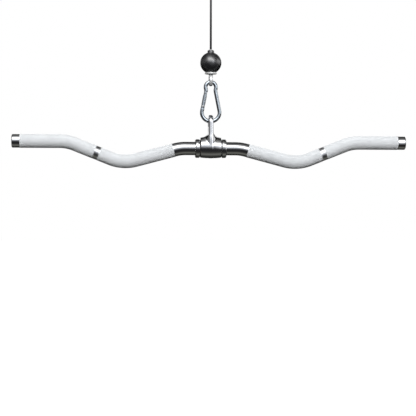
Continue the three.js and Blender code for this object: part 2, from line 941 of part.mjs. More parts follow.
// The thimble: a channel swept round the inside of the cable's loop. Its section's x is across the loop,
// and its y points to the loop's middle.
function thimble() {
  const groove = cableRadius + thimbleGap;
  const back = groove + thimbleBase;
  const side = groove + thimbleFlange;
  const rim = groove - thimbleFlangeRise;
  const section = new THREE.Shape(
    [
      [-side, rim],
      [-groove, rim],
      [-groove, groove - thimbleBase],
      [-groove / 2, groove],
      [groove / 2, groove],
      [groove, groove - thimbleBase],
      [groove, rim],
      [side, rim],
      [side, groove],
      [groove, back],
      [-groove, back],
      [-side, groove],
    ].map(([x, y]) => new THREE.Vector2(x, y)),
  );
  const startX = -loopRadius * Math.cos(thimbleLeftLean) + thimbleLegs * Math.sin(thimbleLeftLean);
  const startZ = -loopRadius * Math.sin(thimbleLeftLean) - thimbleLegs * Math.cos(thimbleLeftLean);
  const route = new Route(startX, neckTop + loopHeight + startZ, quarterTurn + thimbleLeftLean)
    .straight(thimbleLegs)
    .bend(loopRadius, -Math.PI - thimbleLeftLean - thimbleRightLean)
    .straight(thimbleLegs);
  return swept(section, route, route.stops(hookStep));
}

// The whole, hung from the top loop's bearing point
const assembly = new THREE.Group();
assembly.position.z = -bearingHeight;

const bar = new THREE.Group();
place(bar, "bar_tube", barTube(), knurled);
for (const [side, turn] of [
  ["left", Math.PI],
  ["right", 0],
]) {
  const plug = new THREE.Group();
  plug.rotation.y = turn;
  plug.position.z = handRise;
  place(plug, `${side}_end_plug`, endPlug(), chrome);
  const hub = new THREE.Group();
  hub.rotation.y = turn;
  place(hub, `${side}_collar`, collar(), chrome);
  place(hub, `${side}_collar_screw`, collarScrew(), blackSteel);
  place(hub, `${side}_bush`, bush(), bronze);
  const washer = flatRing(runningRadius, flangeRadius, washerFace, washerFace + washerThickness);
  place(hub, `${side}_thrust_washer`, turnedAboutX(washer), nylon);
  bar.add(plug, hub);
}

const hanger = new THREE.Group();
place(hanger, "swivel_hanger", swivelHanger(), chrome);

const hook = new THREE.Group();
place(hook, "snap_hook", snapHook(), zincSteel);
const gate = new THREE.Group();
gate.position.set(hingeX, 0, hingeHeight);
gate.rotation.y = legLean;
place(gate, "gate", gateBody(), zincSteel);
place(gate, "gate_rivet", gateRivet(), paleMetal);
place(gate, "gate_pin", crossBar(pinRadius, wireRadius - pinSink, pinHeight), paleMetal);
place(gate, "gate_plunger", gatePlunger(), paleMetal);
place(gate, "gate_spring", gateSpring(), blackSteel);
hook.add(gate);

const stop = new THREE.Group();
place(stop, "cable_terminal", cableTerminal(), zincSteel);
const stopWasher = flatRing(
  ballBore,
  stopWasherDiameter / 2,
  stopWasherBottom,
  stopWasherBottom + stopWasherThickness,
);
place(stop, "stop_washer", turnedAboutZ(stopWasher), paleMetal);
place(stop, "stop_ball", stopBall(), rubber);
place(stop, "neck_bush", neckBush(), paleMetal);
place(stop, "cable", cable(), coating);
place(stop, "cable_ferrule", cableFerrule(), paleMetal);
place(stop, "thimble", thimble(), zincSteel);

assembly.add(bar, hanger, hook, stop);

export default assembly;
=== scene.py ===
# Multi-grip biceps bar on its cable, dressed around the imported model
# Blender 4.5, metres, +Z up, the bar lies along X and its front faces -Y

import json
import math

import bmesh
import bpy
import numpy as np
from mathutils import Matrix, Vector


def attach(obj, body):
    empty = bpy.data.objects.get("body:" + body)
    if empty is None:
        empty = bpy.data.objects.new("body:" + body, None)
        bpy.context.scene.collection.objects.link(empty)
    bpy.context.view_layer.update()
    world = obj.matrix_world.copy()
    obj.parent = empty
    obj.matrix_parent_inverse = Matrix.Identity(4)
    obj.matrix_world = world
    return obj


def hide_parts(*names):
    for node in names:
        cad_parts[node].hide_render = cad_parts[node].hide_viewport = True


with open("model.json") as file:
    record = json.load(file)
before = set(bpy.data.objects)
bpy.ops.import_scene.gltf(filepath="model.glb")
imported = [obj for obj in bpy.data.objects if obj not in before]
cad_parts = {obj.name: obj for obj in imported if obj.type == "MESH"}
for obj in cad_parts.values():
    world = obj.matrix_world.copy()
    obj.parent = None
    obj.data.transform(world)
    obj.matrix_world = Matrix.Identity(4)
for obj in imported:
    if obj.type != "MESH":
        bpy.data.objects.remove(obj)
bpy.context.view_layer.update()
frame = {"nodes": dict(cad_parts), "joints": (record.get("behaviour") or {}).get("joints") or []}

mm = 0.001
quarterTurn, halfTurn, fullTurn = math.pi / 2, math.pi, 2 * math.pi
over = 1  # how far a cutting form reaches past what it cuts, in millimetres
neckTop = 204.65  # the top of the ball's neck above the bar's axis, in millimetres

barSpin = next(joint for joint in frame["joints"] if joint["name"] == "bar_spin")
hub = Vector(barSpin["pos_m"])  # on the bar's axis, in the middle of the hanger


# Camera

cameraSetup = {
    "distance": 2.5,
    "turnDegrees": 4.16,  # it stands a little towards the bar's left end
    "roll": 0.002,
    "pixelsPerMetre": 479.4,  # at the hub
    "hubPixel": (210.47, 148.58),
    "framePixels": 416,
    "sensor": 36,  # millimetres
    "farthest": 60,
}


def makeCamera(setup):
    turn, roll = math.radians(setup["turnDegrees"]), setup["roll"]
    middle = setup["framePixels"] / 2
    ahead = Vector((math.sin(turn), math.cos(turn), 0))
    level = Vector((math.cos(turn), -math.sin(turn), 0))
    up = Vector((0, 0, 1))
    across = (setup["hubPixel"][0] - middle) / setup["pixelsPerMetre"]
    above = (middle - setup["hubPixel"][1]) / setup["pixelsPerMetre"]
    place = hub - ahead * setup["distance"] - level * across - up * above
    right = level * math.cos(roll) + up * math.sin(roll)
    top = up * math.cos(roll) - level * math.sin(roll)
    facing = Matrix((right, top, -ahead)).transposed().to_4x4()
    camera = bpy.data.objects.new("camera", bpy.data.cameras.new("camera"))
    camera.matrix_world = Matrix.Translation(place) @ facing
    camera.data.sensor_width = setup["sensor"]
    spread = setup["framePixels"] / setup["pixelsPerMetre"]
    camera.data.lens = setup["sensor"] * setup["distance"] / spread
    camera.data.clip_end = setup["farthest"]
    bpy.context.scene.collection.objects.link(camera)
    bpy.context.scene.camera = camera


makeCamera(cameraSetup)
print("camera set")


# Node tools


class Nodes:
    # Short ways to add nodes, whose inputs are numbers, colours or other nodes' outputs
    def __init__(self, owner):
        owner.use_nodes = True
        self.tree = owner.node_tree

    def feed(self, socket, value):
        if isinstance(value, bpy.types.NodeSocket):
            self.tree.links.new(value, socket)
        else:
            socket.default_value = value

    def add(self, kind, settings=None, **inputs):
        node = self.tree.nodes.new(kind)
        for key, value in (settings or {}).items():
            setattr(node, key, value)
        for key, value in inputs.items():
            self.feed(node.inputs[key.replace("_", " ")], value)
        return node

    def math(self, operation, *values):
        node = self.add("ShaderNodeMath", {"operation": operation})
        for socket, value in zip(node.inputs, values):
            self.feed(socket, value)
        return node.outputs[0]

    def parts(self, place):
        return self.add("ShaderNodeSeparateXYZ", Vector=place).outputs

    def span(self, source, low, high, start=0, stop=1, course="LINEAR"):
        # Goes from low to high while the source goes from start to stop
        ends = {"From_Min": start, "From_Max": stop, "To_Min": low, "To_Max": high}
        node = self.add("ShaderNodeMapRange", {"interpolation_type": course}, Value=source, **ends)
        return node.outputs["Result"]

    def ramp(self, source, *stops):
        # Stops are (position, grey or colour)
        node = self.add("ShaderNodeValToRGB", Fac=source)
        elements = node.color_ramp.elements
        while len(elements) < len(stops):
            elements.new(1)
        for element, (position, colour) in zip(elements, stops):
            shade = colour if isinstance(colour, tuple) else (colour, colour, colour)
            element.position = position
            element.color = (*shade, 1)
        return node.outputs["Color"]


class Finish(Nodes):
    # A material that takes its colour, gloss and relief from nodes
    def __init__(self, name, **sockets):
        self.material = bpy.data.materials.new(name)
        super().__init__(self.material)
        self.shader = self.tree.nodes["Principled BSDF"]
        for socket, value in sockets.items():
            self.into(socket.replace("_", " "), value)
        self.place = self.add("ShaderNodeTexCoord").outputs["Object"]

    def into(self, socket, source):
        self.feed(self.shader.inputs[socket], source)

    def noise(self, scale, detail=3, stretch=None, roughness=0.5):
        # Features of 1 / scale metres, drawn out along the axes with a low stretch
        place = self.place
        if stretch:
            place = self.add("ShaderNodeMapping", Vector=place, Scale=stretch).outputs["Vector"]
        inputs = {"Vector": place, "Scale": scale, "Detail": detail, "Roughness": roughness}
        return self.add("ShaderNodeTexNoise", **inputs).outputs["Fac"]

    def colour(self, source, *stops):
        self.into("Base Color", self.ramp(source, *stops))

    def gloss(self, source, low, high):
        self.into("Roughness", self.span(source, low, high))

    def bump(self, height, depth, strength, under=None):
        inputs = {"Height": height, "Distance": depth, "Strength": strength}
        if under:
            inputs["Normal"] = under
        return self.add("ShaderNodeBump", **inputs).outputs["Normal"]

    def relief(self, *settings, **more):
        self.into("Normal", self.bump(*settings, **more))


# Finishes: each one has its own colour, gloss and grain


def chromeFinish():
    finish = Finish("polishedChrome", Metallic=1.0)
    finish.colour(finish.noise(45, 4), (0.35, (0.77, 0.78, 0.79)), (0.65, (0.84, 0.85, 0.86)))
    haze = finish.span(finish.noise(260, 5, roughness=0.7), 0.06, 0.15)
    # The bands between the grips are worn dull by the hands
    aside = finish.math("ABSOLUTE", finish.parts(finish.place)["X"])
    worn = finish.ramp(aside, (0.17, 0), (0.19, 1), (0.31, 1), (0.33, 0))
    finish.into("Roughness", finish.math("MULTIPLY_ADD", worn, 0.2, haze))
    finish.relief(finish.noise(150, 3, stretch=(22, 1, 1)), 0.00001, 0.35)
    return finish.material


def castChromeFinish():
    # Chrome over a casting that was ground by hand: softer and a little wavy
    finish = Finish("castChrome", Metallic=1.0)
    finish.colour(finish.noise(70, 4), (0.35, (0.74, 0.745, 0.765)), (0.65, (0.82, 0.825, 0.84)))
    finish.gloss(finish.noise(420, 5, roughness=0.65), 0.1, 0.19)
    ground = finish.bump(finish.noise(700, 3, stretch=(1, 1, 4)), 0.000015, 0.3)
    finish.relief(finish.noise(95, 2), 0.0002, 0.25, under=ground)
    return finish.material


def knurlFinish():
    # The crests are worn bright and the grooves are duller
    finish = Finish("knurledChrome", Metallic=0.4, Diffuse_Roughness=1.0)
    crest = finish.add("ShaderNodeAttribute", {"attribute_name": "crest"}).outputs["Fac"]
    finish.colour(
        finish.math("MULTIPLY_ADD", finish.noise(60, 4), 0.35, crest),
        (0.1, (0.57, 0.585, 0.60)),
        (0.75, (0.85, 0.87, 0.885)),
        (1.0, (0.93, 0.945, 0.96)),
    )
    finish.into("Roughness", finish.ramp(crest, (0, 0.54), (1, 0.42)))
    finish.relief(finish.noise(3200, 3), 0.00003, 0.5)
    return finish.material


def zincFinish():
    # Bluish zinc over bent wire, with faint cloudy spangle and lengthwise drawing marks
    finish = Finish("zincPlate", Metallic=1.0)
    finish.colour(
        finish.noise(210, 5, roughness=0.6),
        (0.3, (0.545, 0.605, 0.655)),
        (0.55, (0.635, 0.695, 0.745)),
        (0.75, (0.725, 0.775, 0.815)),
    )
    finish.gloss(finish.noise(900, 4), 0.12, 0.22)
    finish.relief(finish.noise(1400, 3, stretch=(1, 1, 0.12)), 0.00002, 0.35)
    return finish.material


def satinZincFinish():
    finish = Finish("satinZinc", Metallic=0.6)
    finish.colour(finish.noise(260, 4), (0.3, (0.80, 0.81, 0.82)), (0.7, (0.90, 0.905, 0.91)))
    finish.gloss(finish.noise(1000, 4), 0.28, 0.42)
    finish.relief(finish.noise(420, 3, stretch=(1, 1, 8)), 0.00002, 0.3)
    return finish.material


def steelFinish(name, metallic, dull, bright):
    # Turned steel, with fine rings round its axis
    finish = Finish(name, Metallic=metallic)
    low, high = (dull, dull, dull - 0.005), (bright, bright + 0.005, bright)
    finish.colour(finish.noise(180, 4), (0.3, low), (0.7, high))
    finish.gloss(finish.noise(1100, 4), 0.3, 0.45)
    finish.relief(finish.noise(300, 3, stretch=(1, 1, 14)), 0.00002, 0.4)
    return finish.material


def blackOxideFinish():
    finish = Finish("blackOxide", Metallic=0.7)
    cloud = finish.noise(800, 4)
    finish.colour(cloud, (0.3, (0.018, 0.018, 0.02)), (0.7, (0.045, 0.045, 0.048)))
    finish.gloss(cloud, 0.4, 0.55)
    return finish.material


def bronzeFinish():
    finish = Finish("sinteredBronze", Metallic=1.0)
    pores = finish.noise(2600, 2)
    finish.colour(pores, (0.35, (0.26, 0.15, 0.07)), (0.5, (0.44, 0.28, 0.13)))
    finish.gloss(pores, 0.5, 0.34)
    finish.relief(pores, 0.00003, 0.5)
    return finish.material


def nylonFinish():
    finish = Finish("blackNylon", IOR=1.53)
    cloud = finish.noise(700, 3)
    finish.colour(cloud, (0.3, (0.018, 0.018, 0.019)), (0.7, (0.032, 0.032, 0.033)))
    finish.gloss(cloud, 0.45, 0.6)
    return finish.material


def rubberFinish():
    # Moulded rubber: a soft broad painted sheen that is duller below, fine pebble, and a few faint
    # scuffs
    finish = Finish("mouldedRubber", IOR=1.85, Coat_Roughness=0.34)
    scuffs = finish.noise(75, 5, roughness=0.65)
    finish.colour(
        scuffs,
        (0.42, (0.007, 0.007, 0.008)),
        (0.6, (0.014, 0.014, 0.015)),
        (0.72, (0.03, 0.03, 0.03)),
    )
    finish.gloss(scuffs, 0.29, 0.38)
    # Painted sheen: specular and coat are set by height, strong on the top and dull below
    paintedSheen = finish.span(finish.parts(finish.place)["Z"], 0, 1, -0.207, -0.192)
    finish.into("Specular IOR Level", finish.span(paintedSheen, 0.25, 0.95))
    finish.into("Coat Weight", finish.span(paintedSheen, 0.1, 0.9))
    pebble = finish.bump(finish.noise(1500, 2), 0.00003, 0.25)
    finish.relief(finish.noise(110, 2), 0.0003, 0.15, under=pebble)
    return finish.material


def sheathFinish():
    # Black nylon with a random worn tone, and painted light that greys it towards the top
    finish = Finish("cableSheath", IOR=1.5, Specular_IOR_Level=0.3)
    wear = finish.noise(500, 4, stretch=(1, 1, 0.25))
    # Painted light: the colour gets greyer towards the top of the cable
    above = finish.span(finish.parts(finish.place)["Z"], 0, 1, -0.17, -0.06)
    finish.colour(
        finish.math("MULTIPLY_ADD", wear, 0.25, above),
        (0.1, (0.008, 0.008, 0.009)),
        (0.6, (0.025, 0.025, 0.026)),
        (1.0, (0.06, 0.061, 0.062)),
    )
    finish.gloss(wear, 0.28, 0.45)
    return finish.material


finishes = {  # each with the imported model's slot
    "chrome": (chromeFinish(), "polished_chrome"),
    "castChrome": (castChromeFinish(), "polished_chrome"),
    "knurl": (knurlFinish(), "polished_chrome"),
    "zinc": (zincFinish(), "zinc_steel"),
    "satinZinc": (satinZincFinish(), "zinc_steel"),
    "steel": (steelFinish("plainSteel", 0.55, 0.8, 0.88), "plain_steel"),
    "pinSteel": (steelFinish("pinSteel", 1.0, 0.5, 0.6), "plain_steel"),
    "blackOxide": (blackOxideFinish(), "black_steel"),
    "bronze": (bronzeFinish(), "bearing_bronze"),
    "nylon": (nylonFinish(), "bearing_nylon"),
    "rubber": (rubberFinish(), "black_rubber"),
    "sheath": (sheathFinish(), "cable_coating"),
}
print("finishes made")


# Mesh tools: forms are made in millimetres about the hub, and addPiece brings them into the frame


class Route:
    # Straights and bends in the XZ plane; a bend with a positive angle turns from +X towards +Z
    def __init__(self, x, z, heading):
        self.legs = []
        self.length = 0
        self.end = (x, z, heading)

    def straight(self, length):
        return self.add(length, 0)

    def bend(self, radius, angle):
        return self.add(radius * abs(angle), math.copysign(1 / radius, angle))

    def add(self, length, curvature):
        self.legs.append((self.length, *self.end, curvature))
        self.length += length
        self.end = self.at(self.length)
        return self

    def at(self, distance):
        start, x, z, heading, curvature = self.legs[0]
        for leg in self.legs:
            if leg[0] <= distance:
                start, x, z, heading, curvature = leg
        run = distance - start
        after = heading + curvature * run
        if curvature == 0:
            return x + run * math.cos(heading), z + run * math.sin(heading), heading
        return (
            x + (math.sin(after) - math.sin(heading)) / curvature,
            z - (math.cos(after) - math.cos(heading)) / curvature,
            after,
        )

    def stations(self, step):
        count = max(2, math.ceil(self.length / step))
        return [self.at(self.length * i / count) for i in range(count + 1)]


def arc(x, z, radius, start, stop, steps=12):
    angles = [start + (stop - start) * i / steps for i in range(steps + 1)]
    return [(x + radius * math.cos(a), z + radius * math.sin(a)) for a in angles]


def roundSection(radius, sides=40):
    angles = [fullTurn * (i + 0.5) / sides for i in range(sides)]
    return [(radius * math.cos(a), radius * math.sin(a)) for a in angles]


def ovalRing(middle, halfAcross, halfAlong, steps=32):
    angles = [fullTurn * i / steps for i in range(steps)]
    points = [(middle - halfAcross * math.cos(a), halfAlong * math.sin(a)) for a in angles]
    return [*points, points[0]]


def softened(profile, radius, steps=3):
    # Rounds the corners of an open or closed outline, apart from its two ends if it is open
    closed = profile[0] == profile[-1]
    points = [Vector(p) for p in (profile[:-1] if closed else profile)]
    rounded = []
    for i, corner in enumerate(points):
        if not closed and i in (0, len(points) - 1):
            rounded.append(tuple(corner))
            continue
        before = points[i - 1] - corner
        after = points[(i + 1) % len(points)] - corner
        if min(before.length, after.length) == 0:
            continue
        start = corner + before.normalized() * min(radius, before.length * 0.45)
        stop = corner + after.normalized() * min(radius, after.length * 0.45)
        for step in range(steps + 1):
            t = step / steps
            rounded.append(tuple((1 - t) ** 2 * start + 2 * t * (1 - t) * corner + t * t * stop))
    if closed:
        rounded.append(rounded[0])
    return rounded


def joinRings(build, rings, capped=True, looped=False):
    sides = len(rings[0])
    pairs = list(zip(rings, rings[1:]))
    if looped:
        pairs.append((rings[-1], rings[0]))
    for low, high in pairs:
        for side in range(sides):
            after = (side + 1) % sides
            build.faces.new((low[side], low[after], high[after], high[side]))
    if capped and not looped:
        build.faces.new(list(reversed(rings[0])))
        build.faces.new(rings[-1])


def skinned(outlines, merged=True, **ends):
    # A form through rings of points; merged closes it where a ring shrinks to one spot
    build = bmesh.new()
    joinRings(build, [[build.verts.new(spot) for spot in outline] for outline in outlines], **ends)
    if merged:
        bmesh.ops.remove_doubles(build, verts=build.verts, dist=1e-4)
    bmesh.ops.recalc_face_normals(build, faces=build.faces)
    return build


def turned(profile, axis="z", sides=64):
    # A profile of (radius, place along the axis), turned about X, Y or Z
    closed = profile[0] == profile[-1]
    order = {"x": (2, 0, 1), "y": (0, 2, 1), "z": (0, 1, 2)}[axis]
    rings = []
    for radius, along in profile[:-1] if closed else profile:
        spots = [(a, b, along) for a, b in roundSection(radius, sides)]
        rings.append([[spot[i] for i in order] for spot in spots])
    return skinned(rings, capped=False, looped=closed)


def swept(section, stations):
    # A section of (across, along Y) carried along stations of (x, z, heading)
    rings = []
    for x, z, heading in stations:
        across = Vector((-math.sin(heading), 0, math.cos(heading)))
        rings.append([Vector((x, 0, z)) + across * a + Vector((0, b, 0)) for a, b in section])
    return skinned(rings)


def plate(outline, thickness):
    # An outline in X and Z, with even thickness to both sides of Y = 0
    faces = (-thickness / 2, thickness / 2)
    return skinned([[(x, y, z) for x, z in outline] for y in faces], merged=False)


def moved(form, matrix):
    form.transform(matrix)
    return form


def shifted(form, x=0, z=0):
    return moved(form, Matrix.Translation((x, 0, z)))


def applied(piece, kind, **settings):
    modifier = piece.modifiers.new(kind, kind)
    for key, value in settings.items():
        setattr(modifier, key, value)
    evaluated = piece.evaluated_get(bpy.context.evaluated_depsgraph_get())
    shaped = bpy.data.meshes.new_from_object(evaluated)
    piece.modifiers.remove(modifier)
    piece.data = shaped
    return piece


def asObject(form, bevel=0):
    if isinstance(form, bpy.types.Object):
        return form
    mesh = bpy.data.meshes.new("scratch")
    form.to_mesh(mesh)
    form.free()
    piece = bpy.data.objects.new("scratch", mesh)
    bpy.context.scene.collection.objects.link(piece)
    if bevel:
        angle = math.radians(40)
        applied(piece, "BEVEL", width=bevel, segments=2, limit_method="ANGLE", angle_limit=angle)
    return piece


def combined(first, others, operation):
    # Joins the first form with the others, or cuts them out of it
    piece = asObject(first)
    for other in others:
        tool = asObject(other)
        applied(piece, "BOOLEAN", object=tool, operation=operation, solver="EXACT")
        bpy.data.objects.remove(tool)
    return piece


def crossBar(radius, halfLength, height, soft=0.0):
    profile = [(0, -halfLength), (radius, -halfLength), (radius, halfLength), (0, halfLength)]
    return shifted(turned(softened(profile, soft) if soft else profile, "y", sides=40), z=height)


def dress(piece, finish):
    material, slot = finishes[finish]
    piece.data.materials.clear()
    piece.data.materials.append(material)


def addPiece(name, form, finish, body, stands, turn=Matrix.Identity(4), sharpDegrees=35):
    # Brings a form into the frame and dresses it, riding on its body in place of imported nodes
    piece = asObject(form)
    piece.data.transform(Matrix.Translation(hub) @ Matrix.Scale(mm, 4) @ turn)
    if turn.determinant() < 0:
        piece.data.flip_normals()
    piece.name = piece.data.name = name
    piece.data.shade_smooth()
    piece.data.set_sharp_from_angle(angle=math.radians(sharpDegrees))
    dress(piece, finish)
    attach(piece, body)
    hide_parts(*stands)
    return piece


# Cable: up through the ferrule, round the top loop and back down beside itself

cableLook = {
    "diameter": 0.0045,
    "mouth": 0.1879,  # the mouth of the terminal's shank, inside the ball
    "strands": 7,
    "layDepth": 0.00003,
    "layLength": 0.032,
    "sides": 28,
    "ringStep": 0.0015,
}
cablePoints = [  # x and z in metres, from the top of the ball's neck
    (0, -0.036), (0, -0.020), (0, -0.004), (0, 0.014), (0, 0.032), (0, 0.050),
    (0, 0.068), (0, 0.086), (0, 0.104), (0, 0.118), (0, 0.127), (0, 0.133),
    (-0.00075, 0.1376), (-0.00285, 0.14145), (-0.00503, 0.1448), (-0.00776, 0.149),
    (-0.01048, 0.15319), (-0.01207, 0.15676), (-0.0125, 0.160), (-0.01155, 0.16478),
    (-0.00884, 0.16884), (-0.00478, 0.17155), (0, 0.1725), (0.00478, 0.17155),
    (0.00884, 0.16884), (0.01155, 0.16478), (0.0125, 0.160), (0.01231, 0.15783),
    (0.01175, 0.15572), (0.01004, 0.15102), (0.00833, 0.14632), (0.0068, 0.1421),
    (0.0055, 0.1376), (0.0051, 0.133), (0.0051, 0.127), (0.0051, 0.118), (0.0051, 0.1095),
]


def smoothLine(points, step):
    # A smooth line through the points, in steps of about the given length
    line = []
    ends = [2 * points[0] - points[1], *points, 2 * points[-1] - points[-2]]
    for a, b, c, d in zip(ends, ends[1:], ends[2:], ends[3:]):
        count = max(1, round((c - b).length / step))
        for i in range(count):
            t = i / count
            bent = (2 * a - 5 * b + 4 * c - d) * t * t + (3 * b - a - 3 * c + d) * t**3
            line.append((2 * b + (c - a) * t + bent) / 2)
    return [*line, points[-1]]


def makeCable(look):
    points = [hub + Vector((x, 0, neckTop * mm + z)) for x, z in cablePoints]
    line = smoothLine(points, look["ringStep"])
    front = Vector((0, -1, 0))
    run = 0
    rings = []
    for i, centre in enumerate(line):
        run += (centre - line[i - 1]).length if i else 0
        along = (line[min(i + 1, len(line) - 1)] - line[max(i - 1, 0)]).normalized()
        side = along.cross(front)
        ring = []
        for corner in range(look["sides"]):
            angle = fullTurn * corner / look["sides"]
            lay = math.cos(look["strands"] * (angle - fullTurn * run / look["layLength"]))
            radius = look["diameter"] / 2 - look["layDepth"] * (1 - lay) / 2
            out = radius * (math.cos(angle) * side + math.sin(angle) * front)
            ring.append((centre - hub + out) / mm)
        rings.append(ring)
    form = skinned(rings, merged=False)
    piece = addPiece("cableStrand", form, "sheath", "cable_stop", ["cable"], sharpDegrees=70)


# Top fittings: the pressed ferrule over both legs of the cable, and the thimble in its loop

topFittings = {
    "cableRadius": 2.25,
    "legSpacing": 5.1,
    "ferruleHeight": 112,
    "ferruleLength": 22,
    "ferruleWall": 1.8,
    "ferruleRounding": (0.5, 0.6),  # how deep, and how far from each end
    "ferruleSteps": 60,
    "bore": 2.55,
    "pressRings": 3,
    "pressDepth": 0.35,
    "loopRadius": 12.5,
    "loopHeight": 160,
    "thimbleGap": 0.4,
    "thimbleFlange": 1.2,
    "thimbleRise": 2.4,
    "thimbleEdge": 0.35,
    "thimbleLegs": 7.5,
    "thimbleStep": 0.7,
    "crownDrop": 1,
    "crownInset": 1.6,
    "crownStart": 0.6,
    "leanDegrees": (33, 20),
}


def legOutline(spacing, radius, steps=14):
    left = arc(0, 0, radius, quarterTurn, 3 * quarterTurn, steps)
    return left + arc(spacing, 0, radius, -quarterTurn, quarterTurn, steps)


def makeFerrule(sizes):
    bore, steps = sizes["bore"], sizes["ferruleSteps"]
    low, length = neckTop + sizes["ferruleHeight"], sizes["ferruleLength"]
    depth, reach = sizes["ferruleRounding"]
    walls = []
    for i in range(steps + 1):
        share = i / steps
        edge = min(share, 1 - share) * length
        rounding = depth * (1 - min(1, edge / reach)) ** 2
        press = sizes["pressDepth"] * max(0, math.sin(fullTurn * sizes["pressRings"] * share)) ** 2
        walls.append((bore + sizes["ferruleWall"] - rounding - press, low + share * length))
    walls += [(bore, low + length), (bore, low)]
    rings = [[(x, y, z) for x, y in legOutline(sizes["legSpacing"], radius)] for radius, z in walls]
    form = skinned(rings, merged=False, looped=True)
    addPiece("topFerrule", form, "steel", "cable_stop", ["cable_ferrule"])


def makeThimble(sizes):
    # Its section lies round the cable, from rim to rim inside and back over the crown outside
    groove = sizes["cableRadius"] + sizes["thimbleGap"]
    side, rim = groove + sizes["thimbleFlange"], groove - sizes["thimbleRise"]
    centre, radius = groove - sizes["crownDrop"], side - sizes["crownInset"]
    start = sizes["crownStart"]
    crown = arc(0, centre, radius, start, halfTurn - start, steps=6)
    bed = arc(0, 0, groove, halfTurn, 0, steps=10)[1:-1]
    section = [(-groove, rim), *bed, (groove, rim), (side, rim), (side, groove)]
    section += [*crown, (-side, groove), (-side, rim), (-groove, rim)]
    section = [(-z, y) for y, z in softened(section, sizes["thimbleEdge"], 2)[:-1]]
    left, right = (math.radians(d) for d in sizes["leanDegrees"])
    loop, legs = sizes["loopRadius"], sizes["thimbleLegs"]
    startX = -loop * math.cos(left) + legs * math.sin(left)
    startZ = -loop * math.sin(left) - legs * math.cos(left)
    startZ += neckTop + sizes["loopHeight"]
    route = Route(startX, startZ, quarterTurn + left).straight(legs)
    route.bend(loop, -halfTurn - left - right).straight(legs)
    form = swept(section, route.stations(sizes["thimbleStep"]))
    addPiece("topThimble", form, "zinc", "cable_stop", ["thimble"])


makeFerrule(topFittings)
makeThimble(topFittings)
makeCable(cableLook)


# Bar: a bent tube whose grips are knurled all round, with plain bands between them

barSizes = {
    "length": 822,
    "radius": 14,
    "wall": 3,
    "bendRadius": 84,
    "middleReach": 63,
    "lowReach": 182.5,
    "lowDrop": 31.7,
    "handReach": 296.5,
    "handRise": 13.7,
    "endRound": 2,
    "endSteps": 6,
    "mouthDepth": 17,  # of the bore's open end, enough for the plug
    "mouthChamfer": 0.4,
    "endBand": 16.5,
    "bandFromEnd": 178.7,
    "bandWidth": 10.5,
    "middleBand": 78.2,
    "gripRamp": 0.6,
    "crestRadius": 14.3,
    "grooveRadius": 14.04,
    "knurlAround": 90,  # crests and grooves, so half as many diamonds
    "knurlStep": 1.0,
    "plainStep": 3.0,
    "sharpDegrees": 26,
}


def barRoute(sizes):
    bend, drop = sizes["bendRadius"], sizes["lowDrop"]
    rise = drop + sizes["handRise"]
    inAcross = sizes["lowReach"] - sizes["middleReach"]
    outAcross = sizes["handReach"] - sizes["lowReach"]
    inward, outward = math.atan2(drop, inAcross), math.atan2(rise, outAcross)

    def setback(angle):
        return bend * math.tan(angle / 2)

    hand = sizes["length"] / 2 - sizes["handReach"] - setback(outward)
    outer = math.hypot(outAcross, rise) - setback(outward) - setback(inward + outward)
    inner = math.hypot(inAcross, drop) - setback(inward) - setback(inward + outward)
    middle = 2 * (sizes["middleReach"] - setback(inward))
    route = Route(-sizes["length"] / 2, sizes["handRise"], 0)
    route.straight(hand).bend(bend, -outward).straight(outer).bend(bend, inward + outward)
    route.straight(inner).bend(bend, -inward).straight(middle).bend(bend, -inward)
    route.straight(inner).bend(bend, inward + outward).straight(outer).bend(bend, -outward)
    return route.straight(hand)


def barRows(sizes, length):
    # Rows of (distance, radius), from end to end, where a knurled row has no radius
    near = sizes["bandFromEnd"] - sizes["bandWidth"] / 2
    far = sizes["bandFromEnd"] + sizes["bandWidth"] / 2
    halfGrips = [(sizes["endBand"], near), (far, length / 2 - sizes["middleBand"])]
    grips = halfGrips + [(length - b, length - a) for a, b in reversed(halfGrips)]
    rim, radius = sizes["endRound"], sizes["radius"]
    angles = [quarterTurn * i / sizes["endSteps"] for i in range(sizes["endSteps"] + 1)]
    rows = [(rim * (1 - math.cos(a)), radius - rim * (1 - math.sin(a))) for a in angles]
    endRows = [(length - distance, reach) for distance, reach in reversed(rows)]
    cursor = rim
    for start, stop in [*grips, (length - rim, None)]:
        count = max(1, math.ceil((start - cursor) / sizes["plainStep"]))
        rows += [(cursor + (start - cursor) * i / count, radius) for i in range(1, count + 1)]
        if stop:
            first, last = start + sizes["gripRamp"], stop - sizes["gripRamp"]
            count = round((last - first) / sizes["knurlStep"])
            rows += [(first + (last - first) * i / count, None) for i in range(count + 1)]
            rows.append((stop, radius))
            cursor = stop
    return rows + endRows[1:]


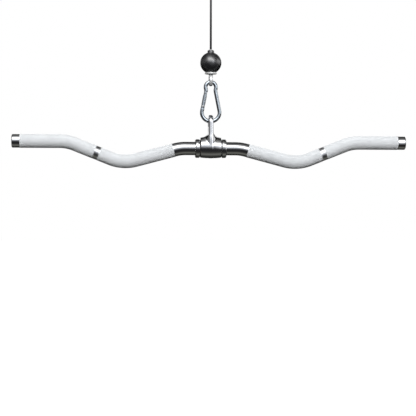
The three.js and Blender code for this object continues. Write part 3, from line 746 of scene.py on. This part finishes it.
def makeBar(sizes):
    route = barRoute(sizes)
    rows = barRows(sizes, route.length)
    around = sizes["knurlAround"]
    angles = [fullTurn * side / around for side in range(around)]
    build = bmesh.new()
    crest = build.verts.layers.float.new("crest")
    rings = []
    for number, (distance, radius) in enumerate(rows):
        x, z, heading = route.at(distance)
        sine, cosine = math.sin(heading), math.cos(heading)
        ring = []
        for side, angle in enumerate(angles):
            high = (side + number) % 2 == 0
            reach = radius or (sizes["crestRadius"] if high else sizes["grooveRadius"])
            rise, back = reach * math.sin(angle), reach * math.cos(angle)
            spot = build.verts.new((x - rise * sine, back, z + rise * cosine))
            spot[crest] = 1 if high or radius else 0
            ring.append(spot)
        rings.append(ring)

    # Every knurled square is split along its groove, so each crest stands as a four-sided point
    knurled = [radius is None for _, radius in rows]
    for number, (low, high) in enumerate(zip(rings, rings[1:])):
        if not (knurled[number] or knurled[number + 1]):
            joinRings(build, [low, high], capped=False)
            continue
        for side in range(around):
            after = (side + 1) % around
            a, b, c, d = low[side], low[after], high[after], high[side]
            crestFirst = (side + number) % 2 == 0
            for half in ((a, b, d), (b, c, d)) if crestFirst else ((a, b, c), (a, c, d)):
                build.faces.new(half).material_index = 1

    # The bore's mouth at each end
    wall, chamfer = sizes["wall"], sizes["mouthChamfer"]
    for ring, distance, way in ((rings[0], 0, 1), (rings[-1], route.length, -1)):
        x, z, _ = route.at(distance)
        chain = [ring]
        for inset, along in ((wall - chamfer, 0), (wall, chamfer), (wall, sizes["mouthDepth"])):
            reach = sizes["radius"] - inset
            spots = [(reach * math.cos(a), z + reach * math.sin(a)) for a in angles]
            chain.append([build.verts.new((x + way * along, *spot)) for spot in spots])
        joinRings(build, chain, capped=False)
        build.faces.new(chain[-1])
    bmesh.ops.recalc_face_normals(build, faces=build.faces)
    indices = [face.material_index for face in build.faces]
    degrees = sizes["sharpDegrees"]
    piece = addPiece("bentTube", build, "chrome", "bar", ["bar_tube"], sharpDegrees=degrees)
    piece.data.materials.append(finishes["knurl"][0])
    piece.data.polygons.foreach_set("material_index", indices)
    print("bar made, faces:", len(indices))


makeBar(barSizes)


# Plugs, collars and washers: made for the right end, and mirrored for the left

bothEnds = (("left", Matrix.Diagonal((-1, 1, 1, 1))), ("right", Matrix.Identity(4)))
plugSizes = {
    "radius": 10.7,
    "length": 14,
    "sink": 0.4,
    "chamfer": 0.8,
    "edge": 0.3,
    "dish": 0.25,
    "dishShares": (0.72, 0.66),  # of the radius, at the dish's rim and its floor
}


def makePlugs(sizes):
    radius, chamfer = sizes["radius"], sizes["chamfer"]
    face = barSizes["length"] / 2 - sizes["sink"]
    back, floor = face - sizes["length"], face - sizes["dish"]
    dishRim, dishFloor = (share * radius for share in sizes["dishShares"])
    profile = [(0, back), (radius, back), (radius, face - chamfer), (radius - chamfer, face)]
    profile = softened([*profile, (dishRim, face), (dishFloor, floor), (0, floor)], sizes["edge"])
    for side, turn in bothEnds:
        plug = shifted(turned(profile, "x", sides=72), z=barSizes["handRise"])
        addPiece(f"{side}Plug", plug, "chrome", "bar", [f"{side}_end_plug"], turn)


makePlugs(plugSizes)

collarSizes = {
    "inner": 14.3,
    "outer": 19.5,
    "face": 23.25,
    "reach": 32.4,
    "chamfer": 1.8,
    "nearChamfer": 0.8,
    "edge": 0.35,
    "screwHole": 3.3,
    "washerOuter": 17.4,
    "washerFaces": (21.95, 22.95),
    "washerEdge": 0.2,
}


def makeCollars(sizes):
    inner, outer, wide = sizes["inner"], sizes["outer"], sizes["washerOuter"]
    face, reach, hole = sizes["face"], sizes["reach"], sizes["screwHole"]
    near, far = sizes["nearChamfer"], sizes["chamfer"]
    profile = [(inner, face), (outer - near, face), (outer, face + near), (outer, reach - far)]
    profile += [(outer - far, reach), (inner, reach), (inner, face)]
    profile = softened(profile, sizes["edge"])
    low, high = sizes["washerFaces"]
    ring = [(inner, low), (wide, low), (wide, high), (inner, high), (inner, low)]
    drillProfile = [(0, 0), (hole, 0), (hole, outer + 2 * over), (0, outer + 2 * over)]
    for side, turn in bothEnds:
        drill = shifted(turned(drillProfile, "y", sides=32), x=(face + reach) / 2)
        collar = combined(turned(profile, "x", sides=96), [drill], "DIFFERENCE")
        addPiece(f"{side}StopCollar", collar, "chrome", "bar", [f"{side}_collar"], turn)
        washer = turned(softened(ring, sizes["washerEdge"]), "x", sides=72)
        addPiece(f"{side}Washer", washer, "nylon", "bar", [f"{side}_thrust_washer"], turn)


makeCollars(collarSizes)
print("plugs and collars made")


# Swivel hanger: sleeve, flat stem and eye in one casting, with a soft fillet between them

hangerSizes = {
    "sleeveHalf": 21.65,
    "sleeveLift": 2,
    "endRadius": 20.95,
    "middleRadius": 22.2,
    "edge": 0.9,
    "stemHalf": 4.9,
    "stemRounding": 3.4,
    "stemRadius": 22.0,
    "eyeHeight": 53.25,
    "eyeHole": 7.75,
    "eyeRim": 9,
    "blend": 15,  # how far the fillet reaches at the top of the sleeve
    "leastBlend": 1.2,  # and at its front
    "blendTurn": (0.4, 1.4),  # where it starts and ends to shrink, in radians from the top
    "boreRadius": 16.1,
    "seatRadius": 17.7,
    "seatDepth": 1.6,
    "voxel": 0.5,
    "smoothing": 3,
}


def roundedEdge(across, along, rounding):
    # Distance from an edge, rounded, where two faces meet
    across, along = across + rounding, along + rounding
    corner = np.hypot(np.maximum(across, 0), np.maximum(along, 0))
    return np.minimum(np.maximum(across, along), 0) + corner - rounding


def hangerDistance(points, sizes):
    # Distance of each point from the casting's skin, with a minus sign inside
    x, y, z = np.abs(points[:, 0]), np.abs(points[:, 1]), points[:, 2] - sizes["sleeveLift"]
    half, middle = sizes["sleeveHalf"], sizes["middleRadius"]
    shrink = (middle - sizes["endRadius"]) * np.minimum(x / half, 1) ** 2
    sleeve = roundedEdge(np.hypot(y, z) - middle + shrink, x - half, sizes["edge"])

    height, low = sizes["eyeHeight"] - sizes["sleeveLift"], sizes["stemRadius"]
    high = sizes["eyeHole"] + sizes["eyeRim"]
    slope = (low - high) / height
    level = math.sqrt(1 - slope * slope)
    climb = -slope * y + level * z
    fromEye = np.hypot(y, z - height)
    outline = np.where(climb < 0, np.hypot(y, z) - low, level * y + slope * z - low)
    outline = np.where(climb > level * height, fromEye - high, outline)
    outline = np.maximum(outline, sizes["eyeHole"] - fromEye)
    stem = roundedEdge(outline, x - sizes["stemHalf"], sizes["stemRounding"])

    start, stop = sizes["blendTurn"]
    fade = np.clip((np.arctan2(y, z) - start) / (stop - start), 0, 1)
    fade = fade * fade * (3 - 2 * fade)
    blend = sizes["blend"] + (sizes["leastBlend"] - sizes["blend"]) * fade
    near = np.maximum(blend - np.abs(sleeve - stem), 0) / blend
    return np.minimum(sleeve, stem) - near * near * blend / 4


def drawnToSkin(piece, distance, sizes, rounds=6, small=0.02, share=0.8, leastSteep=0.3):
    # Each round moves every vertex a share of its way along the slope of the distance
    mesh = piece.data
    flat = np.empty(len(mesh.vertices) * 3)
    mesh.vertices.foreach_get("co", flat)
    points = flat.reshape(-1, 3)
    for _ in range(rounds):
        here = distance(points, sizes)
        rises = []
        for step in np.eye(3) * small:
            rises.append(distance(points + step, sizes) - distance(points - step, sizes))
        slope = np.stack(rises, 1) / (2 * small)
        steep = np.maximum((slope * slope).sum(1), leastSteep)
        points -= slope * (here / steep)[:, None] * share
    mesh.vertices.foreach_set("co", points.ravel())
    mesh.update()


def stemOutline(sizes, steps=48):
    low, high = sizes["stemRadius"], sizes["eyeHole"] + sizes["eyeRim"]
    foot, height = sizes["sleeveLift"], sizes["eyeHeight"]
    slope = math.asin((low - high) / (height - foot))
    wide = low / math.cos(slope)
    return [(-wide, foot), (wide, foot), *arc(0, height, high, slope, halfTurn - slope, steps)]


def makeHanger(sizes):
    half, end, edge = sizes["sleeveHalf"], sizes["endRadius"], sizes["edge"]
    profile = [(0, -half), (end - edge, -half), (end, edge - half)]
    profile += [(end, half - edge), (end - edge, half), (0, half)]
    sleeve = shifted(turned(profile, "x", sides=96), z=sizes["sleeveLift"])
    quarter = Matrix.Rotation(quarterTurn, 4, "Z")
    stem = moved(plate(stemOutline(sizes), 2 * sizes["stemHalf"]), quarter)
    hole = moved(crossBar(sizes["eyeHole"], 2 * half, sizes["eyeHeight"]), quarter)
    casting = combined(stem, [hole], "DIFFERENCE")
    combined(casting, [sleeve], "UNION")
    applied(casting, "REMESH", mode="VOXEL", voxel_size=sizes["voxel"])
    drawnToSkin(casting, hangerDistance, sizes)
    applied(casting, "SMOOTH", factor=0.5, iterations=sizes["smoothing"])
    seat, mouth = half - sizes["seatDepth"], half + 2 * over
    wide, narrow = sizes["seatRadius"], sizes["boreRadius"]
    bore = [(0, -mouth), (wide, -mouth), (wide, -seat), (narrow, -seat)]
    bore += [(narrow, seat), (wide, seat), (wide, mouth), (0, mouth)]
    combined(casting, [turned(bore, "x", sides=96)], "DIFFERENCE")
    addPiece("castHanger", casting, "castChrome", "hanger", ["swivel_hanger"])
    print("hanger made")


makeHanger(hangerSizes)


# Snap hook: bent wire with a hinge tongue and a notched nose, and its sprung gate

hookSizes = {
    "wireRadius": 4,
    "wireStep": 1.1,
    "wireEdge": 0.45,
    "bottomBow": 18.5,
    "topBow": 10.85,
    "bottomHeight": 75.2,
    "bowSpacing": 52.65,
    "leanDegrees": 11.2,
    "neckRadius": 9,
    "hingeAboveBow": 9,
    "noseBelowNeck": 1,
    "gateGap": 0.5,
    "gateEdge": 0.5,
    "tongueThickness": 3.4,
    "tongueGap": 0.35,
    "tongueRadius": 3.9,
    "tongueEdge": 0.2,
    "camRadius": 3,
    "camSteps": 12,
    "openingDegrees": 26,
    "shoulderDrop": 4.6,
    "noseLength": 7.6,
    "noseHalf": 3.2,
    "noseLip": 1.8,
    "noseBack": 1.5,
    "notchPlay": 0.4,
    "rivetRadius": 1.3,
    "rivetHead": 2.2,
    "rivetRise": 0.7,
    "rivetStraight": 0.35,  # the share of the rise that isn't domed
    "rivetDome": (0, 0.4, 0.8, 1.2),  # radians up the dome, which then closes at its top
    "pinRadius": 1.2,
    "pinSink": 0.35,
    "pinEdge": 0.25,
    "gap": 0.3,
    "boreRadius": 1.9,
    "boreTop": 20.4,
}


def hookLayout(sizes):
    lean = math.radians(sizes["leanDegrees"])
    bow, hinge, spacing = sizes["bottomBow"], sizes["hingeAboveBow"], sizes["bowSpacing"]
    reach = sizes["topBow"] + sizes["neckRadius"]
    side = bow + sizes["neckRadius"] - spacing * math.sin(lean)
    drop = math.sqrt(reach**2 - side**2)
    leg = spacing * math.cos(lean) - drop
    across = -bow * math.cos(lean) + hinge * math.sin(lean)
    up = sizes["bottomHeight"] + bow * math.sin(lean) + hinge * math.cos(lean)
    shoulder = leg - hinge - sizes["noseBelowNeck"]
    tip = shoulder - sizes["noseLength"]
    notch = sizes["pinRadius"] + sizes["notchPlay"]
    return {
        "lean": lean,
        "neckTurn": math.asin(drop / reach),
        "leg": leg,
        "toHinge": Matrix.Translation((across, 0, up)) @ Matrix.Rotation(lean, 4, "Y"),
        "shoulder": shoulder,
        "noseTip": tip,
        "notch": notch,
        "pinHeight": tip + sizes["noseLip"] + notch,
    }


def hingeTongue(sizes):
    # Its round head falls away to a flat cam for the plunger
    radius, cam, steps = sizes["tongueRadius"], sizes["camRadius"], sizes["camSteps"]
    opening = math.radians(sizes["openingDegrees"])
    foot = -sizes["shoulderDrop"] - over
    outline = [(radius, foot), *arc(0, 0, radius, 0, quarterTurn - opening, steps=16)]
    for step in range(1, steps + 1):
        angle = opening * (1 - step / steps)
        reach = cam + (radius - cam) * angle / opening
        outline.append((reach * math.sin(angle), reach * math.cos(angle)))
    return [*outline, (-cam * math.tan(opening), cam), (-radius, 0), (-radius, foot)]


def noseTongue(sizes, layout):
    half, lip, tip = sizes["noseHalf"], sizes["noseLip"], layout["noseTip"]
    notch, pin = layout["notch"], layout["pinHeight"]
    top = layout["shoulder"] + over
    outline = [(-half, top), (-half, tip), (half - lip / 2, tip), (half, tip + lip / 2)]
    cut = arc(notch - sizes["noseBack"], pin, notch, -quarterTurn, -3 * quarterTurn, steps=16)
    return [*outline, (half, pin - notch), *cut, (half, pin + notch), (half, top)]


def makeHook(sizes, layout):
    lean, turn, neck = layout["lean"], layout["neckTurn"], sizes["neckRadius"]
    start, bow = sizes["hingeAboveBow"] - sizes["shoulderDrop"], sizes["bottomBow"]
    x = -bow * math.cos(lean) + start * math.sin(lean)
    z = sizes["bottomHeight"] + bow * math.sin(lean) + start * math.cos(lean)
    route = Route(x, z, -quarterTurn - lean).straight(start).bend(bow, halfTurn + 2 * lean)
    route.straight(layout["leg"]).bend(neck, -turn)
    route.bend(sizes["topBow"], halfTurn - 2 * lean + 2 * turn)
    route.bend(neck, -turn).straight(sizes["noseBelowNeck"])
    wire = swept(roundSection(sizes["wireRadius"]), route.stations(sizes["wireStep"]))
    tongues = []
    for outline in (hingeTongue(sizes), noseTongue(sizes, layout)):
        tongue = asObject(plate(outline, sizes["tongueThickness"]), sizes["tongueEdge"])
        tongue.data.transform(layout["toHinge"])
        tongues.append(tongue)
    hook = combined(asObject(wire, sizes["wireEdge"]), tongues, "UNION")
    hole = crossBar(sizes["rivetRadius"] + sizes["gap"], sizes["wireRadius"] * 2, 0)
    combined(hook, [moved(hole, layout["toHinge"])], "DIFFERENCE")
    addPiece("wireHook", hook, "zinc", "snap_hook", ["snap_hook"])


def makeRivet(sizes, layout):
    under = sizes["wireRadius"] + sizes["gap"]
    head, rise, straight = sizes["rivetHead"], sizes["rivetRise"], sizes["rivetStraight"]
    half = [(sizes["rivetRadius"], under), (head, under)]
    for angle in sizes["rivetDome"]:
        level = straight + (1 - straight) * math.sin(angle)
        half.append((head * math.cos(angle), under + rise * level))
    half.append((0, under + rise))
    rivet = turned([(r, -y) for r, y in reversed(half)] + half, "y", sides=40)
    addPiece("hingeRivet", moved(rivet, layout["toHinge"]), "pinSteel", "snap_hook", ["gate_rivet"])


def makeGate(sizes, layout):
    wire, gap, bore = sizes["wireRadius"], sizes["gap"], sizes["boreRadius"]
    tip, foot, top = layout["shoulder"] - sizes["gateGap"], -wire - over, sizes["boreTop"]
    slotWidth = sizes["tongueThickness"] + 2 * sizes["tongueGap"]
    bar = turned(softened([(0, foot), (wire, foot), (wire, tip), (0, tip)], sizes["gateEdge"]))
    heel = arc(0, 0, wire, halfTurn, fullTurn, steps=24)
    outline = [(-wire, tip + over), *heel, (wire, tip + over)]
    gate = combined(bar, [plate(outline, 2 * (wire + over))], "INTERSECT")
    lowSlot = (foot - over, sizes["tongueRadius"] + sizes["gateGap"])
    highSlot = (layout["noseTip"] - sizes["gateGap"], tip + over)
    left, right = -wire - over, wire + over
    cuts = []
    for low, high in (lowSlot, highSlot):
        cuts.append(plate([(left, low), (right, low), (right, high), (left, high)], slotWidth))
    cuts.append(turned([(0, 0), (bore, 0), (bore, top), (0, top)], sides=32))
    cuts.append(crossBar(sizes["rivetRadius"] + gap, 2 * wire, 0))
    cuts.append(crossBar(sizes["pinRadius"] + gap, 2 * wire, layout["pinHeight"]))
    combined(gate, cuts, "DIFFERENCE")
    gate.data.transform(layout["toHinge"])
    addPiece("springGate", gate, "zinc", "gate", ["gate"])
    half, edge = wire - sizes["pinSink"], sizes["pinEdge"]
    pin = moved(crossBar(sizes["pinRadius"], half, layout["pinHeight"], edge), layout["toHinge"])
    addPiece("catchPin", pin, "pinSteel", "gate", ["gate_pin"])


hookPlan = hookLayout(hookSizes)
makeHook(hookSizes, hookPlan)
makeRivet(hookSizes, hookPlan)
makeGate(hookSizes, hookPlan)
print("hook made")


# Cable terminal, stop washer, ball and the bush in its neck

stopSizes = {
    "eyeHeight": 142.4,
    "eyeHole": 16,
    "eyeRim": 4.3,
    "eyeThickness": 7.5,
    "shankRadius": 3.6,
    "shankEdge": 0.3,
    "shoulderRadius": 4.4,
    "shoulderRise": 2.2,
    "shoulderTop": 155.0,
    "shankInBall": 32.9,
    "socketDepth": 24,
    "cableBore": 2.55,
    "washerRadius": 12.5,
    "washerThickness": 2.9,
    "washerBottom": 155.3,
    "washerEdge": 0.45,
    "ballRadius": 22.15,
    "ballBottom": 158.5,
    "ballHeight": 178.65,
    "ballBore": 3.9,
    "ballEdge": 0.8,
    "neckRadius": 6.9,
    "neckChamfer": 0.8,
    "neckEdge": 0.7,
    "bushLength": 9,
    "bushOuter": 3.6,
    "bushFlange": 4.7,
    "bushTop": 3.8,
    "bushRise": 1.2,
    "bushEdge": 0.25,
    "gap": 0.3,
}


def makeTerminal(sizes):
    middle = (sizes["eyeHole"] + sizes["eyeRim"]) / 2
    section = ovalRing(middle, sizes["eyeRim"] / 2, sizes["eyeThickness"] / 2)
    ring = shifted(turned(section, "x", sides=80), z=sizes["eyeHeight"])
    shank, bore, wide = sizes["shankRadius"], sizes["cableBore"], sizes["shoulderRadius"]
    foot, shoulder = sizes["eyeHeight"] + middle, sizes["shoulderTop"]
    low, top = shoulder - sizes["shoulderRise"], shoulder + sizes["shankInBall"]
    socket = top - sizes["socketDepth"]
    profile = [(0, foot), (bore, foot), (shank, low), (wide, low), (wide, shoulder)]
    profile += [(shank, shoulder), (shank, top), (bore, top), (bore, socket), (0, socket)]
    terminal = combined(ring, [turned(softened(profile, sizes["shankEdge"]), sides=56)], "UNION")
    addPiece("eyeTerminal", terminal, "satinZinc", "cable_stop", ["cable_terminal"])


def makeWasher(sizes):
    low, high = sizes["washerBottom"], sizes["washerBottom"] + sizes["washerThickness"]
    bore, outer = sizes["ballBore"], sizes["washerRadius"]
    profile = [(bore, low), (outer, low), (outer, high), (bore, high), (bore, low)]
    ring = turned(softened(profile, sizes["washerEdge"]), sides=80)
    addPiece("ballWasher", ring, "steel", "cable_stop", ["stop_washer"])


def makeBall(sizes):
    radius, neck, bore = sizes["ballRadius"], sizes["neckRadius"], sizes["ballBore"]
    centre, bottom, chamfer = sizes["ballHeight"], sizes["ballBottom"], sizes["neckChamfer"]
    start, stop = -math.asin((centre - bottom) / radius), math.acos(neck / radius)
    skin = arc(0, centre, radius, start, stop, steps=40)
    edge = softened([(bore, bottom), (skin[0][0], bottom), skin[1]], sizes["ballEdge"])
    throat = [*skin[-2:], (neck, neckTop - chamfer), (neck - chamfer, neckTop), (bore, neckTop)]
    profile = [*edge, *skin[2:-2], *softened(throat, sizes["neckEdge"])]
    ball = turned([*profile, profile[0]], sides=120)
    addPiece("stopBallBody", ball, "rubber", "cable_stop", ["stop_ball"])


def makeBush(sizes):
    inner, shaft, foot = sizes["cableBore"], sizes["bushOuter"], neckTop - sizes["bushLength"]
    seat = neckTop + sizes["gap"]
    top = seat + sizes["bushRise"]
    profile = [(inner, foot), (shaft, foot), (shaft, seat), (sizes["bushFlange"], seat)]
    profile += [(sizes["bushTop"], top), (inner, top), (inner, foot)]
    bush = turned(softened(profile, sizes["bushEdge"]), sides=56)
    addPiece("neckInsert", bush, "steel", "cable_stop", ["neck_bush"])


makeTerminal(stopSizes)
makeWasher(stopSizes)
makeBall(stopSizes)
makeBush(stopSizes)
print("stop made")


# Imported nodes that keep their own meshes, in sight at the back or hidden inside

keptNodes = {
    "left_collar_screw": "blackOxide",
    "right_collar_screw": "blackOxide",
    "left_bush": "bronze",
    "right_bush": "bronze",
    "gate_plunger": "steel",
    "gate_spring": "blackOxide",
}
for node, finish in keptNodes.items():
    dress(frame["nodes"][node], finish)


# Studio: white surround, soft lamps, and reflection cards that only shiny surfaces see

studio = {
    "floorDrop": 0.58,  # below the bar's axis
    "floorHalf": 14,
    "floorGrey": 0.08,
    "arcRadius": 2.0,
    "arcHalf": 3.2,
    "cardLift": 0.01,
    "softboxHalf": 0.8,
    "softboxFade": 0.7,  # the way in which it fades beyond its ends
    "beyondSoftbox": 0.12,  # and how bright the cards stay there
}
lamps = {  # elevation in degrees up from the front
    "keyLamp": {"power": 130, "size": (2.4, 0.5), "elevation": 32, "distance": 3.0},
    "topLamp": {"power": 4, "size": (2.4, 1.2), "elevation": 100, "distance": 2.4},
    "backLamp": {"power": 105, "size": (2.4, 0.8), "elevation": 158, "distance": 3.0},
}
# What a level shiny tube reflects: degrees up from the front, and the brightness there
reflectionRows = [
    (-180, 0.2), (-170, 0.06), (-155, 0.02), (-140, 0.02), (-126, 0.03), (-112, 0.03),
    (-98, 0.08), (-80, 0.17), (-66, 0.08), (-52, 0.03), (-22, 0.015), (-10, 0.05),
    (0, 0.2), (7, 0.45), (14, 0.65), (22, 0.95), (28, 1.7), (35, 3.2), (53, 3.2),
    (60, 1.4), (68, 0.6), (77, 0.3), (87, 0.22), (98, 0.13), (112, 0.03), (152, 0.03),
    (159, 0.4), (163, 1.0), (172, 1.0), (177, 0.4), (180, 0.2),
]
# The floor in front is a little warm, and the room behind the camera a little blue
cardTints = [
    (-60, (1.0, 0.995, 0.9)),
    (-38, (1.0, 0.98, 1.05)),
    (-8, (0.96, 0.97, 1.03)),
    (18, (0.95, 0.985, 1.04)),
    (32, (1.0, 1.0, 1.0)),
]
# Towards the right the softbox hangs lower, its top edge more so: from and to along X, and degrees
lowering = {"bottomEdge": (0.3, 0.72, 18), "topEdge": (0.03, 0.27, 15), "between": (25, 60)}


def cardShare(degrees):
    return degrees / 360 + 0.5


def cardMaterial():
    material = bpy.data.materials.new("reflectionCards")
    nodes = Nodes(material)
    nodes.tree.nodes.clear()
    parts = nodes.parts(nodes.add("ShaderNodeTexCoord").outputs["Object"])
    angle = nodes.math("ARCTAN2", parts["Z"], nodes.math("MULTIPLY", parts["Y"], -1))
    turnShare = nodes.math("ADD", nodes.math("DIVIDE", angle, fullTurn), 0.5)
    bottomEdge, topEdge = (
        nodes.span(parts["X"], 0, degrees / 360, start, stop)
        for start, stop, degrees in (lowering["bottomEdge"], lowering["topEdge"])
    )
    upwards = nodes.span(turnShare, 0, 1, *(cardShare(degrees) for degrees in lowering["between"]))
    lowered = nodes.math("MULTIPLY", nodes.math("SUBTRACT", topEdge, bottomEdge), upwards)
    share = nodes.math("ADD", nodes.math("ADD", turnShare, bottomEdge), lowered)

    curve = nodes.add("ShaderNodeFloatCurve", Value=share)
    points = curve.mapping.curves[0].points
    highest = max(level for _, level in reflectionRows)
    spots = [(cardShare(degrees), level / highest) for degrees, level in reflectionRows]
    for point, spot in zip(points, spots):
        point.location = spot
    for spot in spots[len(points):]:
        points.new(*spot)
    for point in points:
        point.handle_type = "VECTOR"
    curve.mapping.update()

    # Beyond the softbox's ends its extra brightness fades
    end, beyond = studio["softboxHalf"], studio["beyondSoftbox"]
    aside = nodes.math("ABSOLUTE", parts["X"])
    fade = nodes.span(aside, 1, beyond, end, end + studio["softboxFade"], "SMOOTHSTEP")
    level = nodes.math("MULTIPLY", nodes.math("MULTIPLY", curve.outputs[0], highest), fade)
    tint = nodes.ramp(turnShare, *((cardShare(degrees), colour) for degrees, colour in cardTints))
    glow = nodes.add("ShaderNodeEmission", Color=tint, Strength=level)
    nodes.add("ShaderNodeOutputMaterial", Surface=glow.outputs[0])
    return material


def addStage(name, points, faces, material, place):
    mesh = bpy.data.meshes.new(name)
    mesh.from_pydata(points, [], faces)
    mesh.materials.append(material)
    piece = bpy.data.objects.new(name, mesh)
    piece.location = place
    bpy.context.scene.collection.objects.link(piece)
    return piece


def makeCards():
    material = cardMaterial()
    reach, half = studio["arcRadius"], studio["arcHalf"]
    drop = studio["floorDrop"] - studio["cardLift"]
    low = math.asin(drop / reach)
    wide = reach * math.cos(low)
    outlines = {
        "overheadCard": arc(0, 0, reach, halfTurn + low, -low, steps=64),
        "floorCard": [(wide * (i / 20 - 1), -drop) for i in range(41)],
    }
    for name, outline in outlines.items():
        points = [(x, y, z) for y, z in outline for x in (-half, half)]
        faces = [(2 * i, 2 * i + 1, 2 * i + 3, 2 * i + 2) for i in range(len(outline) - 1)]
        card = addStage(name, points, faces, material, hub)
        for ray in ("camera", "diffuse", "transmission", "volume_scatter", "shadow"):
            setattr(card, f"visible_{ray}", False)


def makeFloor():
    material = bpy.data.materials.new("paleFloor")
    nodes = Nodes(material)
    shader, grey = nodes.tree.nodes["Principled BSDF"], studio["floorGrey"]
    shader.inputs["Base Color"].default_value = (grey, grey, grey, 1)
    shader.inputs["Roughness"].default_value = 0.9
    shader.inputs["Specular IOR Level"].default_value = 0.1
    # The camera sees it white, and it still takes the object's shadow
    seen = nodes.add("ShaderNodeLightPath").outputs["Is Camera Ray"]
    both = nodes.add("ShaderNodeAddShader")
    nodes.feed(both.inputs[0], shader.outputs[0])
    nodes.feed(both.inputs[1], nodes.add("ShaderNodeEmission", Strength=seen).outputs[0])
    nodes.feed(nodes.tree.nodes["Material Output"].inputs["Surface"], both.outputs[0])
    half = studio["floorHalf"]
    points = [(-half, -half, 0), (half, -half, 0), (half, half, 0), (-half, half, 0)]
    addStage("floor", points, [(0, 1, 2, 3)], material, hub - Vector((0, 0, studio["floorDrop"])))


def makeLamp(name, lamp):
    light = bpy.data.lights.new(name, "AREA")
    light.shape = "RECTANGLE"
    light.size, light.size_y = lamp["size"]
    light.energy = lamp["power"]
    piece = bpy.data.objects.new(name, light)
    angle = math.radians(lamp["elevation"])
    piece.location = hub + lamp["distance"] * Vector((0, -math.cos(angle), math.sin(angle)))
    piece.rotation_mode = "QUATERNION"
    piece.rotation_quaternion = (hub - piece.location).to_track_quat("-Z", "Y")
    piece.visible_glossy = False
    bpy.context.scene.collection.objects.link(piece)


def makeWorld():
    world = bpy.data.worlds.new("studio")
    bpy.context.scene.world = world
    nodes = Nodes(world)
    nodes.tree.nodes.clear()
    parts = nodes.parts(nodes.add("ShaderNodeTexCoord").outputs["Generated"])
    # Shiny sides see a darker left and a lighter right; matt surfaces get light from above
    aside = nodes.span(parts["X"], 0.15, 0.9, -0.8, 0.8)
    above = nodes.span(parts["Z"], 0, 0.45, 0, 0.8)
    rays = nodes.add("ShaderNodeLightPath").outputs
    shiny = nodes.add("ShaderNodeMix", Factor=rays["Is Glossy Ray"], A=above, B=aside)
    seen = nodes.add("ShaderNodeMix", Factor=rays["Is Camera Ray"], A=shiny.outputs["Result"], B=1)
    light = nodes.add("ShaderNodeBackground", Color=(1, 1, 1, 1), Strength=seen.outputs["Result"])
    nodes.add("ShaderNodeOutputWorld", Surface=light.outputs[0])


makeCards()
makeFloor()
for name, lamp in lamps.items():
    makeLamp(name, lamp)
makeWorld()
bpy.context.scene.view_settings.view_transform = "Standard"
print("studio set")
